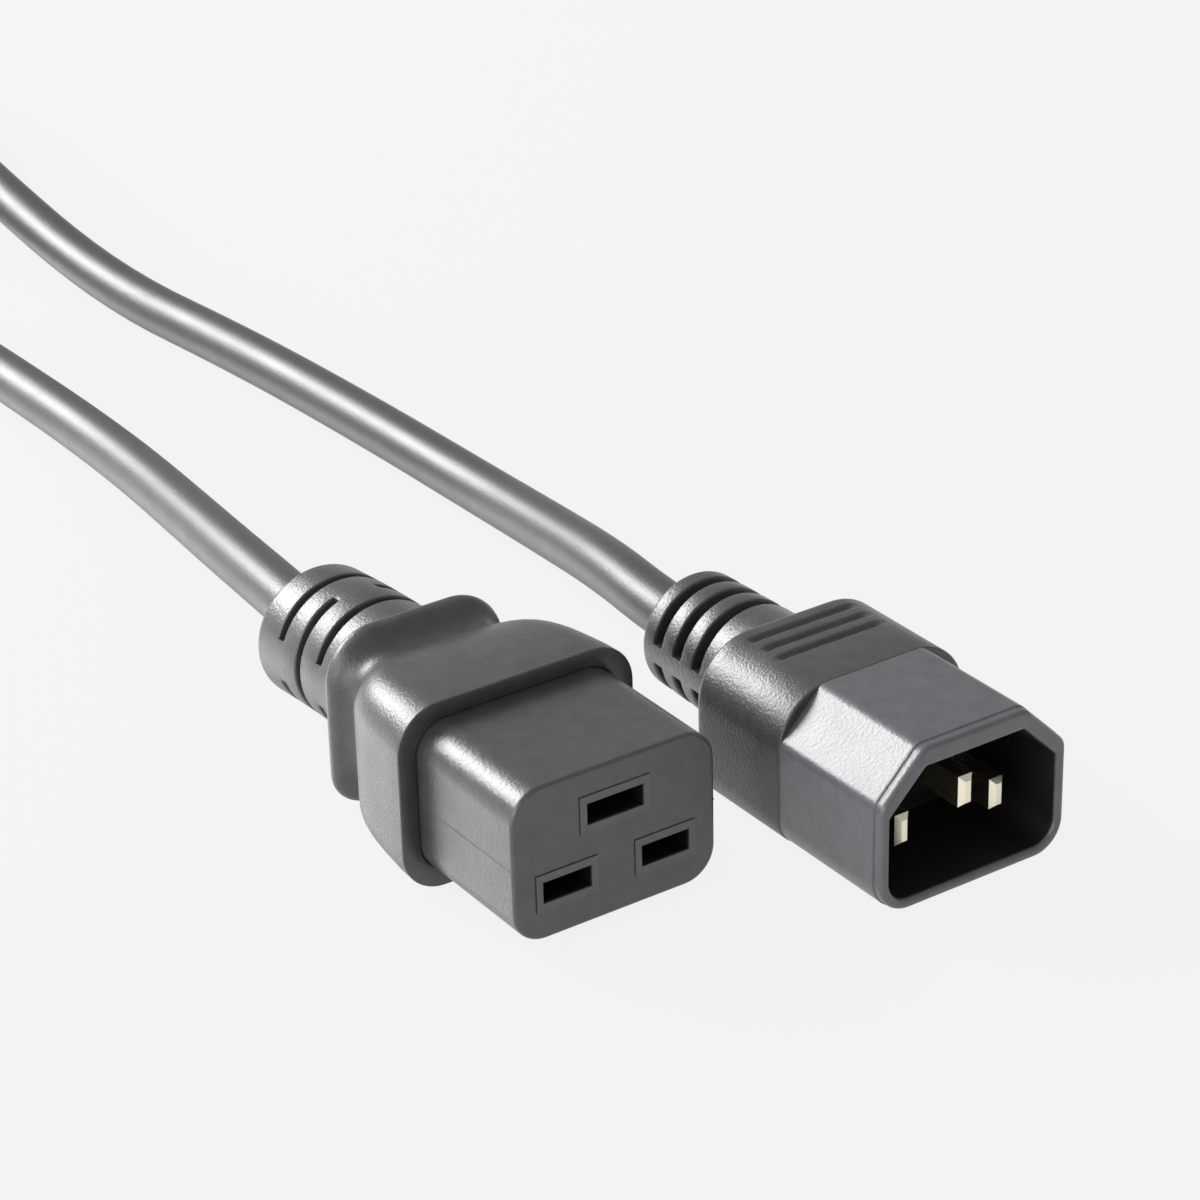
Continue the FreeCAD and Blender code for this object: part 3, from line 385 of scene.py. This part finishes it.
# Depth, width, height and corner of the grip's sections behind the flange's sharp front edge
grip_sections = [
    (19.85, 32.46, 24.10, 5.60),
    (22.00, 32.20, 24.02, 5.55),
    (24.00, 31.80, 23.80, 5.50),
    (26.00, 31.40, 23.50, 5.40),
    (28.00, 30.90, 23.15, 5.30),
    (29.50, 30.40, 22.75, 5.20),
    (31.00, 29.70, 22.30, 5.10),
    (32.30, 28.75, 21.80, 5.00),
    (33.50, 27.50, 21.20, 4.90),
    (34.60, 25.90, 20.45, 4.80),
    (35.70, 24.00, 19.50, 4.70),
    (36.70, 22.30, 18.60, 4.65),
    (37.60, 21.20, 18.05, 4.60),
    (38.50, 20.90, 17.95, 4.60),
]
# The ridge's hollow front and rounded crest: depth, width, height and corner above, the same below
ridge_sections = [
    (39.20, 21.05, 18.10, 4.7, 18.20, 4.6),
    (39.80, 21.45, 18.50, 5.0, 18.90, 4.6),
    (40.30, 22.05, 19.15, 5.4, 19.95, 4.6),
    (40.70, 22.75, 20.05, 5.8, 21.30, 4.6),
    (41.00, 23.35, 20.90, 6.2, 22.45, 4.6),
    (41.25, 23.80, 21.50, 6.5, 23.20, 4.6),
    (41.60, 24.20, 21.90, 6.7, 23.80, 4.5),
    (42.00, 24.42, 22.12, 6.8, 24.05, 4.5),
    (42.25, 24.50, 22.20, 6.8, 24.10, 4.5),
]
grip_rings = []
for k in range(4):
    angle = math.radians(90 * k / 3)
    inset = 0.16 * (1 - math.sin(angle))
    depth = FLANGE_FRONT + 0.16 * (1 - math.cos(angle))
    wide, tall = FLANGE_WIDTH - 2 * inset, FLANGE_HEIGHT - 2 * inset
    grip_rings.append(station(GRIP_PLACE, depth, wide, tall, FLANGE_CORNER - inset))
for depth, width, height, corner in grip_sections:
    grip_rings.append(station(GRIP_PLACE, depth, width, height, corner))
for depth, width, height, corner, low_height, low_corner in ridge_sections:
    grip_rings.append(station(GRIP_PLACE, depth, width, height, corner, low=(low_height, low_corner)))
for k in range(7):
    angle = math.radians(90 * k / 6)
    inset = RIDGE_ROUND * (1 - math.cos(angle))
    depth = RIDGE_REAR + RIDGE_ROUND * math.sin(angle)
    tall, corner = RIDGE_TALL[0] - 2 * inset, RIDGE_TALL[1] - inset
    below = (RIDGE_LOW[0] - 2 * inset, RIDGE_LOW[1] - inset)
    grip_rings.append(station(GRIP_PLACE, depth, RIDGE_WIDTH - 2 * inset, tall, corner, low=below))
# The hollow between the ridge's rear and the boot
grip_rings.append(station(GRIP_PLACE, 43.40, 20.2, 20.0, 9.6))
grip_rings.append(station(GRIP_PLACE, 43.65, 18.9, 18.9, 9.4))
grip_rings.append(station(GRIP_PLACE, 44.30, 18.3, 18.3, 9.15))
grip_rings += boot_rings(
    GRIP_PLACE,
    start=45.0,
    end=65.95,
    wide=18.2,
    narrow=17.8,
    sag=1.2,
    slots=[(50.85, 0.0), (55.45, 90.0), (60.05, 0.0)],
    sweep=140.0,
    width=1.2,
    slot_depth=3.1,
    bore_depth=46.0,
)
# Back to the front inside: the end of the cord's bore, the room for the cores, the nose's seat
grip_rings.append(station(GRIP_PLACE, 45.9, 7.6, 7.6, 3.8))
grip_rings.append(station(GRIP_PLACE, 28.2, 18.2, 18.2, 9.1))
grip_rings.append(station(GRIP_PLACE, 27.70, 27.6, 19.8, 4.25))
grip_rings.append(station(GRIP_PLACE, 20.0, 27.6, 19.8, 4.25))
grip_rings.append(station(GRIP_PLACE, 19.72, 27.7, 19.9, 4.3))
grip_rings.append(station(GRIP_PLACE, FLANGE_FRONT, 27.9, 20.1, 4.4))
grip = skin("grip", grip_rings, looped=True)
soft_black = black_plastic(
    "soft_black",
    (0.034, 0.0345, 0.035),
    clouding=0.9,
    roughness=0.38,
    smudge=0.16,
    grain_size=2600.0,
    grain=0.9,
    ripple=0.05,
    specular=0.6,
)
grip.data.materials.append(soft_black)
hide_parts("connector_grip")
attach(grip, "root")

# The connector's nose: a block of harder black plastic with rounded corners and a small round on
# the edge of its face. Three windows in the face show the carrier behind.
POLES = {"earth": (0.0, 4.28, 9.5), "line": (-6.7, -3.72, 8.3), "neutral": (6.7, -3.72, 8.3)}
WINDOW_HEIGHT = 4.8
NOSE_COUNT = 96
NOSE_WIDTH = 27.5
NOSE_HEIGHT = 19.7
NOSE_CORNER = 4.2
FACE_ROUND = 0.5
CHAMBER_WIDTH = 23.3
CHAMBER_HEIGHT = 15.5


def cutter(name, low, high):
    """A plain block in millimetres that cuts a hollow and is then taken away."""
    mesh = bpy.data.meshes.new(name)
    corners = [
        (x * 0.001, y * 0.001, z * 0.001)
        for x in (low[0], high[0])
        for y in (low[1], high[1])
        for z in (low[2], high[2])
    ]
    sides = [(0, 1, 3, 2), (4, 6, 7, 5), (0, 4, 5, 1), (2, 3, 7, 6), (0, 2, 6, 4), (1, 5, 7, 3)]
    mesh.from_pydata(corners, [], sides)
    mesh.update()
    block = bpy.data.objects.new(name, mesh)
    scene.collection.objects.link(block)
    return block


def cut_away(piece, blocks):
    """The piece with the blocks taken out of it, and the blocks gone."""
    for block in blocks:
        change = piece.modifiers.new("cut", "BOOLEAN")
        change.operation = "DIFFERENCE"
        change.solver = "EXACT"
        change.object = block
    bpy.context.view_layer.update()
    shown = piece.evaluated_get(bpy.context.evaluated_depsgraph_get())
    mesh = bpy.data.meshes.new_from_object(shown)
    piece.modifiers.clear()
    old = piece.data
    piece.data = mesh
    bpy.data.meshes.remove(old)
    for block in blocks:
        bpy.data.objects.remove(block)


def eased(piece, width, angle):
    """Small rounds on the sharp edges, as a mould leaves them."""
    ease = piece.modifiers.new("eased", "BEVEL")
    ease.width = width * 0.001
    ease.segments = 2
    ease.limit_method = "ANGLE"
    ease.angle_limit = math.radians(angle)
    ease.harden_normals = False
    level = piece.modifiers.new("even", "WEIGHTED_NORMAL")
    level.keep_sharp = True


def nose_ring(depth, inset, flash):
    """One ring of the nose, with a thin line of flash half-way up each side, where the mould parts."""
    ring = []
    width, corner = NOSE_WIDTH - 2 * inset, NOSE_CORNER - inset
    w, h = width / 2 - corner, (NOSE_HEIGHT - 2 * inset) / 2 - corner
    quarter = NOSE_COUNT // 4
    for side, (cx, cz) in enumerate(((w, h), (-w, h), (-w, -h), (w, -h))):
        for k in range(quarter):
            angle = math.pi / 2 * (side + k / (quarter - 1))
            ring.append(
                (
                    GRIP_PLACE[0] + cx + corner * math.cos(angle),
                    GRIP_PLACE[1] + depth,
                    GRIP_PLACE[2] + cz + corner * math.sin(angle),
                )
            )
        if side in (1, 3):
            way = 1 if side == 3 else -1
            for up, out in ((0.14, 0.0), (0.05, flash), (-0.05, flash), (-0.14, 0.0)):
                x = GRIP_PLACE[0] + way * (width / 2 + out)
                ring.append((x, GRIP_PLACE[1] + depth, GRIP_PLACE[2] - way * up))
    return ring


nose_rings = [nose_ring(27.6, 0.0, 0.0), nose_ring(FLANGE_FRONT, 0.0, 0.0)]
nose_rings.append(nose_ring(FLANGE_FRONT - 0.05, 0.0, 0.06))
nose_rings.append(nose_ring(0.85, 0.0, 0.06))
for k in range(7):
    angle = math.radians(90 * k / 6)
    inset = FACE_ROUND * (1 - math.cos(angle))
    nose_rings.append(nose_ring(FACE_ROUND - FACE_ROUND * math.sin(angle), inset, 0.08))
nose = skin("nose", nose_rings)
middle = Vector(GRIP_PLACE)
hollows = [
    cutter(
        "chamber",
        middle + Vector((-CHAMBER_WIDTH / 2, 2.0, -CHAMBER_HEIGHT / 2)),
        middle + Vector((CHAMBER_WIDTH / 2, 30.0, CHAMBER_HEIGHT / 2)),
    )
]
for pole, (x, u, wide) in POLES.items():
    hollows.append(
        cutter(
            "window_" + pole,
            middle + Vector((x - wide / 2 - 0.05, -1.0, u - WINDOW_HEIGHT / 2)),
            middle + Vector((x + wide / 2 + 0.05, 3.0, u + WINDOW_HEIGHT / 2)),
        )
    )
cut_away(nose, hollows)
nose.data.set_sharp_from_angle(angle=math.radians(38))
eased(nose, 0.10, 50)
hard_black = black_plastic(
    "hard_black",
    (0.038, 0.0386, 0.0386),
    clouding=0.8,
    roughness=0.34,
    smudge=0.14,
    grain_size=1800.0,
    grain=0.6,
    ripple=0.04,
    specular=0.6,
)
nose.data.materials.clear()
nose.data.materials.append(hard_black)
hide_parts("connector_nose")
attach(nose, "root")

# The contact carrier: hard black plastic, seen through the windows as three frames round the slots. Just
# behind its face its colour is darkened to almost black, a painted shade, so no light shows inside the
# slots.
FACE_DEPTH = -0.02478
SHADE_DEPTH = -0.02440
carrier_black = black_plastic(
    "carrier_black",
    (0.060, 0.0610, 0.0600),
    clouding=0.6,
    roughness=0.40,
    smudge=0.10,
    grain_size=1800.0,
    grain=0.4,
    ripple=0.0,
    specular=0.5,
)


def dress(node, material):
    """A CAD piece whose shape is right gets its own material, and smooth round faces."""
    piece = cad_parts[node]
    piece.data.materials.clear()
    piece.data.materials.append(material)
    piece.data.shade_smooth()
    piece.data.set_sharp_from_angle(angle=math.radians(30))


dress("connector_contact_carrier", carrier_black)
nodes, links = carrier_black.node_tree.nodes, carrier_black.node_tree.links
place = nodes.new("ShaderNodeTexCoord")
axes = nodes.new("ShaderNodeSeparateXYZ")
links.new(place.outputs["Object"], axes.inputs["Vector"])
# Painted shade: the colour falls to almost black just behind the face, deeper into the slots
depth_shade = nodes.new("ShaderNodeMapRange")
depth_shade.inputs["From Min"].default_value = FACE_DEPTH
depth_shade.inputs["From Max"].default_value = SHADE_DEPTH
depth_shade.inputs["To Min"].default_value = 1.0
depth_shade.inputs["To Max"].default_value = 0.06
links.new(axes.outputs["Y"], depth_shade.inputs["Value"])
deep = nodes.new("ShaderNodeVectorMath")
deep.operation = "SCALE"
links.new(nodes["Group"].outputs["Colour"], deep.inputs[0])
links.new(depth_shade.outputs["Result"], deep.inputs["Scale"])
links.new(deep.outputs["Vector"], nodes["Principled BSDF"].inputs["Base Color"])


def metal(name, colour, roughness, streak):
    """A plated or bare metal, with fine drawn streaks along it."""
    material = bpy.data.materials.new(name)
    material.use_nodes = True
    nodes, links = material.node_tree.nodes, material.node_tree.links
    shader = nodes["Principled BSDF"]
    shader.inputs["Metallic"].default_value = 1.0
    place = nodes.new("ShaderNodeTexCoord")
    stretch = nodes.new("ShaderNodeMapping")
    stretch.inputs["Scale"].default_value = (3000.0, 220.0, 3000.0)
    streaks = nodes.new("ShaderNodeTexNoise")
    streaks.inputs["Scale"].default_value = 1.0
    streaks.inputs["Detail"].default_value = 3.0
    shades = nodes.new("ShaderNodeValToRGB")
    shades.color_ramp.elements[0].position = 0.3
    shades.color_ramp.elements[0].color = (*[c * (1 - streak) for c in colour], 1.0)
    shades.color_ramp.elements[1].position = 0.7
    shades.color_ramp.elements[1].color = (*colour, 1.0)
    rough = nodes.new("ShaderNodeMapRange")
    rough.inputs["To Min"].default_value = roughness - 0.03
    rough.inputs["To Max"].default_value = roughness + 0.03
    bump = nodes.new("ShaderNodeBump")
    bump.inputs["Distance"].default_value = 0.00001
    bump.inputs["Strength"].default_value = 0.04
    links.new(place.outputs["Object"], stretch.inputs["Vector"])
    links.new(stretch.outputs["Vector"], streaks.inputs["Vector"])
    links.new(streaks.outputs["Fac"], shades.inputs["Fac"])
    links.new(shades.outputs["Color"], shader.inputs["Base Color"])
    links.new(streaks.outputs["Fac"], rough.inputs["Value"])
    links.new(rough.outputs["Result"], shader.inputs["Roughness"])
    links.new(streaks.outputs["Fac"], bump.inputs["Height"])
    links.new(bump.outputs["Normal"], shader.inputs["Normal"])
    return material


# The sprung contacts behind the slots: each is folded from one brass strip, with a crimp barrel on the
# back. Their colour is darkened far below brass's own, a painted shade for the dark inside the slots.
# Painted shade: a very dark brass colour, so the contacts sink into the shade of the slots
brass = metal("contact_brass_in_shade", (0.050, 0.040, 0.024), roughness=0.5, streak=0.15)
for pole in POLES:
    dress("connector_contact_" + pole, brass)

# The cores inside both ends: bare copper in the crimps, then coloured insulation in to the cord's
# end, where the jacket is cut off square.
copper = metal("strand_copper", (0.75, 0.38, 0.22), roughness=0.4, streak=0.4)
INSULATION = {"earth": (0.30, 0.45, 0.05), "line": (0.11, 0.045, 0.02), "neutral": (0.02, 0.09, 0.33)}
for pole, colour in INSULATION.items():
    insulation = black_plastic(
        "insulation_" + pole,
        colour,
        clouding=0.4,
        roughness=0.4,
        smudge=0.1,
        grain_size=2400.0,
        grain=0.2,
        ripple=0.1,
        specular=0.5,
    )
    for side in ("connector", "plug"):
        dress("%s_wire_%s" % (side, pole), insulation)
        dress("%s_strands_%s" % (side, pole), copper)

dress("plug_cord_end", jacket)

# The plug's body: soft black plastic moulded in one over the hood's plinth and the cord. It has
# rounded rear edges, three grip grooves above and below, and a slotted boot.
PLUG_PLACE = (20.425, -41.275, 10.27)
BODY_FRONT = 19.0
BODY_WIDTH = 27.6
BODY_HEIGHT = 20.54
BODY_CORNER = 7.6
BODY_LOW_CORNER = 4.3
BODY_ROUND = 1.2
GROOVE_HALF_LENGTH = 7.95


def groove_cut(amount):
    """Takes so much off the flat top and bottom, over the length of a grip groove."""

    def cut(bearing):
        c, s = math.cos(bearing), math.sin(bearing)
        if abs(s) < 0.5:
            return 0.0
        across = abs(BODY_HEIGHT / 2 * c / s)
        share = min(1.0, max(0.0, (GROOVE_HALF_LENGTH - across) / 0.5))
        return amount * share / abs(s)

    return cut


def body_ring(depth, inset, corner_inset, cut=None):
    """One ring of the body, with larger corners above than below."""
    tall = BODY_HEIGHT - 2 * inset
    below = (tall, BODY_LOW_CORNER - corner_inset)
    return station(PLUG_PLACE, depth, BODY_WIDTH - 2 * inset, tall, BODY_CORNER - corner_inset, cut, below)


body_rings = []
for k in range(5):
    angle = math.radians(90 * k / 4)
    inset = 0.3 * (1 - math.sin(angle))
    body_rings.append(body_ring(BODY_FRONT + 0.3 * (1 - math.cos(angle)), inset, inset))
for middle in (27.1, 29.85, 32.6):
    for off, amount in (
        (-0.95, 0.0),
        (-0.72, 0.02),
        (-0.58, 0.10),
        (-0.50, 0.26),
        (-0.36, 0.58),
        (-0.18, 0.70),
        (0.18, 0.70),
        (0.36, 0.58),
        (0.50, 0.26),
        (0.58, 0.10),
        (0.72, 0.02),
        (0.95, 0.0),
    ):
        cut = groove_cut(amount) if amount else None
        body_rings.append(body_ring(middle + off, 0.0, 0.0, cut))
for k in range(9):
    angle = math.radians(90 * k / 8)
    inset = BODY_ROUND * (1 - math.cos(angle))
    body_rings.append(body_ring(34.5 + BODY_ROUND * math.sin(angle), inset, inset * 0.5))
# The small hollow where the boot leaves the body
body_rings.append(station(PLUG_PLACE, 35.74, 18.2, 18.0, 8.8))
body_rings.append(station(PLUG_PLACE, 35.95, 17.3, 17.3, 8.6))
body_rings.append(station(PLUG_PLACE, 36.40, 16.8, 16.8, 8.4))
body_rings += boot_rings(
    PLUG_PLACE,
    start=37.0,
    end=55.4,
    wide=16.6,
    narrow=15.7,
    sag=0.0,
    slots=[(43.6, 0.0), (47.7, 0.0), (51.8, 0.0)],
    sweep=158.0,
    width=1.6,
    slot_depth=3.0,
    bore_depth=42.0,
)
# Back to the front inside: the end of the cord's bore, the room for the cores, the plinth's seat
body_rings.append(station(PLUG_PLACE, 41.85, 7.6, 7.6, 3.8))
body_rings.append(station(PLUG_PLACE, 28.8, 18.4, 18.4, 9.2))
body_rings.append(station(PLUG_PLACE, 22.6, 18.6, 15.1, 2.05))
body_rings.append(station(PLUG_PLACE, 22.55, 22.1, 15.1, 2.05))
body_rings.append(station(PLUG_PLACE, 19.05, 22.1, 15.1, 2.05))
body_rings.append(station(PLUG_PLACE, BODY_FRONT, 22.3, 15.3, 2.2))
plug_body = skin("plug_body", body_rings, looped=True)
plug_body.data.materials.append(soft_black)
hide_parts("plug_overmould")
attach(plug_body, "root")

# The plug's hood: a shell of hard black plastic round the pins, with its two upper corners cut off,
# a deep mouth and a rounded rim. Each outline is a width, the reach above and below the axis, the
# cut corner, and the round of the lower and the upper corners.
HOOD_OUTLINE = (27.3, 10.27, 10.27, 6.1, 4.3, 2.0)
LIP_OUTLINE = (27.02, 10.13, 10.13, 6.02, 4.16, 2.0)
MOUTH_OUTLINE = (24.5, 7.62, 8.87, 5.05, 3.0, 0.8)
CHAMFER_SHARE = 0.586
PIN_PLACES = {"earth": (0.0, 1.37), "line": (-7.0, -2.63), "neutral": (7.0, -2.63)}


def grown(outline, by):
    """The outline with every side moved out by so much. The upper rounds stay as they are."""
    width, top, bottom, chamfer, low_corner, high_corner = outline
    return width + 2 * by, top + by, bottom + by, chamfer + CHAMFER_SHARE * by, low_corner + by, high_corner


def hood_ring(depth, width, top, bottom, chamfer, low_corner, high_corner):
    """One ring of the hood, with the same number of points on each corner whatever its size."""
    half = width / 2
    corners = [
        ((half, top - chamfer), high_corner),
        ((half - chamfer, top), high_corner),
        ((chamfer - half, top), high_corner),
        ((-half, top - chamfer), high_corner),
        ((-half, -bottom), low_corner),
        ((half, -bottom), low_corner),
    ]
    ring = []
    count = len(corners)
    for i, (corner, radius) in enumerate(corners):
        here = Vector(corner)
        before = (Vector(corners[i - 1][0]) - here).normalized()
        after = (Vector(corners[(i + 1) % count][0]) - here).normalized()
        opening = before.angle(after)
        reach = radius / math.tan(opening / 2)
        start = here + before * reach
        end = here + after * reach
        centre = here + (before + after).normalized() * (radius / math.sin(opening / 2))
        spread = math.pi - opening
        first = start - centre
        for k in range(12):
            turn = Matrix.Rotation(spread * k / 11, 2)
            p = centre + turn @ first
            ring.append((PLUG_PLACE[0] + p.x, PLUG_PLACE[1] + depth, PLUG_PLACE[2] + p.y))
    return ring


hood_rings = [
    hood_ring(BODY_FRONT, *HOOD_OUTLINE),
    hood_ring(18.7, *HOOD_OUTLINE),
    hood_ring(1.90, *HOOD_OUTLINE),
    hood_ring(1.60, *HOOD_OUTLINE),
    hood_ring(1.50, 27.26, 10.25, 10.25, 6.09, 4.28, 2.0),
    hood_ring(1.46, 27.06, 10.15, 10.15, 6.03, 4.18, 2.0),
    hood_ring(1.36, *LIP_OUTLINE),
    hood_ring(0.90, *LIP_OUTLINE),
]
for k in range(7):
    angle = math.radians(90 * k / 6)
    inset = 0.6 * (1 - math.cos(angle))
    hood_rings.append(hood_ring(0.6 - 0.6 * math.sin(angle), *grown(LIP_OUTLINE, -inset)))
for k in range(7):
    angle = math.radians(90 * k / 6)
    outset = 0.55 * (1 - math.sin(angle))
    hood_rings.append(hood_ring(0.55 * (1 - math.cos(angle)), *grown(MOUTH_OUTLINE, outset)))
hood_rings.append(hood_ring(1.5, *MOUTH_OUTLINE))
hood_rings.append(hood_ring(15.7, 24.3, 7.55, 8.80, 5.05, 2.9, 0.8))
hood_rings.append(hood_ring(16.0, 23.7, 7.25, 8.50, 4.9, 2.6, 0.8))
hood = skin("hood", hood_rings)
middle = Vector(PLUG_PLACE)
holes = []
for pole, (x, u) in PIN_PLACES.items():
    low = middle + Vector((x - 1.05, 15.0, u - 2.05))
    high = middle + Vector((x + 1.05, 21.0, u + 2.05))
    holes.append(cutter("hole_" + pole, low, high))
cut_away(hood, holes)
hood.data.set_sharp_from_angle(angle=math.radians(38))
hood_black = black_plastic(
    "hood_black",
    (0.068, 0.0715, 0.077),
    clouding=0.6,
    roughness=0.34,
    smudge=0.12,
    grain_size=2200.0,
    grain=0.5,
    ripple=0.02,
    specular=0.6,
)
# Painted shade: the hood's plastic coloured almost black, for the shade deep inside the mouth
mouth_shade_black = black_plastic(
    "mouth_shade_black",
    (0.003, 0.003, 0.003),
    clouding=0.5,
    roughness=0.55,
    smudge=0.10,
    grain_size=2200.0,
    grain=0.3,
    ripple=0.0,
    specular=0.4,
)
hood.data.materials.clear()
hood.data.materials.append(hood_black)
hood.data.materials.append(mouth_shade_black)
# The faces inside the mouth, behind its rounded rim, get a near-black colour: painted shade, darker than
# the hood's own plastic
for face in hood.data.polygons:
    x, depth, z = face.center * 1000 - middle
    inside = abs(x) < 12.6 and -9.2 < z < 8.0 and abs(x) + z < 15.5
    if inside and 0.9 < depth < 18.0:
        face.material_index = 1
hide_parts("plug_shroud")
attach(hood, "root")

# The plug's pins: flat bars of brass with a pale nickel plate, bevelled at the tip. The middle one
# is the earth, and stands higher and further forward.
plate = metal("pin_plate", (0.80, 0.74, 0.60), roughness=0.28, streak=0.08)
for pole in POLES:
    dress("plug_pin_" + pole, plate)

# The floor is a wide sheet of smooth white acrylic. Seen by the camera or in a reflection it glows
# evenly, and it keeps the faint shadow of the cord and the connectors.
floor_mesh = bpy.data.meshes.new("floor")
floor_mesh.from_pydata([(-6, -6, 0), (6, -6, 0), (6, 6, 0), (-6, 6, 0)], [], [(0, 1, 2, 3)])
floor = bpy.data.objects.new("floor", floor_mesh)
scene.collection.objects.link(floor)
acrylic = bpy.data.materials.new("acrylic")
acrylic.use_nodes = True
nodes, links = acrylic.node_tree.nodes, acrylic.node_tree.links
sheet = nodes["Principled BSDF"]
sheet.inputs["Base Color"].default_value = (0.86, 0.86, 0.86, 1.0)
sheet.inputs["Roughness"].default_value = 0.9
seen_sheet = nodes.new("ShaderNodeBsdfPrincipled")
seen_sheet.inputs["Base Color"].default_value = (0.03, 0.03, 0.03, 1.0)
seen_sheet.inputs["Roughness"].default_value = 0.28
glow = nodes.new("ShaderNodeEmission")
glow.inputs["Color"].default_value = (0.86, 0.86, 0.86, 1.0)
pale = nodes.new("ShaderNodeAddShader")
links.new(seen_sheet.outputs[0], pale.inputs[0])
links.new(glow.outputs[0], pale.inputs[1])
ray = nodes.new("ShaderNodeLightPath")
seen = nodes.new("ShaderNodeMath")
seen.operation = "MAXIMUM"
links.new(ray.outputs["Is Glossy Ray"], seen_sheet.inputs["Specular IOR Level"])
links.new(ray.outputs["Is Camera Ray"], seen.inputs[0])
links.new(ray.outputs["Is Glossy Ray"], seen.inputs[1])
through = nodes.new("ShaderNodeMath")
through.operation = "MAXIMUM"
links.new(seen.outputs[0], through.inputs[0])
links.new(ray.outputs["Is Transmission Ray"], through.inputs[1])
choice = nodes.new("ShaderNodeMixShader")
links.new(through.outputs[0], choice.inputs[0])
links.new(sheet.outputs[0], choice.inputs[1])
links.new(pale.outputs[0], choice.inputs[2])
links.new(choice.outputs[0], nodes["Material Output"].inputs["Surface"])
floor_mesh.materials.append(acrylic)

# Light: two soft lamps behind, which draw the long highlights on the cord, a weak wide one on the
# left, a weak one in front on the left, and a pale room.


def soft_lamp(name, away, distance, width, height, power):
    """A soft box that stands off in one direction and faces the connectors."""
    data = bpy.data.lights.new(name, "AREA")
    data.shape = "RECTANGLE"
    data.size = width
    data.size_y = height
    data.energy = power
    lamp = bpy.data.objects.new(name, data)
    aim = Vector((0.01, 0.0, 0.01))
    direction = Vector(away).normalized()
    lamp.location = aim + direction * distance
    lamp.rotation_mode = "QUATERNION"
    lamp.rotation_quaternion = direction.to_track_quat("Z", "Y")
    scene.collection.objects.link(lamp)


soft_lamp("key", (-0.46, 0.74, 0.50), distance=1.1, width=0.64, height=0.42, power=12.5)
soft_lamp("left", (-1.0, 0.1, 0.36), distance=1.0, width=1.0, height=0.6, power=5.0)
soft_lamp("front", (-0.85, -0.50, 0.22), distance=1.1, width=0.9, height=0.6, power=4.0)
soft_lamp("back", (-0.22, 0.87, 0.42), distance=1.1, width=0.5, height=0.42, power=7.0)
world = bpy.data.worlds.new("room")
scene.world = world
world.use_nodes = True
room = world.node_tree.nodes["Background"]
room.inputs["Color"].default_value = (1.0, 1.0, 1.0, 1.0)
room.inputs["Strength"].default_value = 0.55
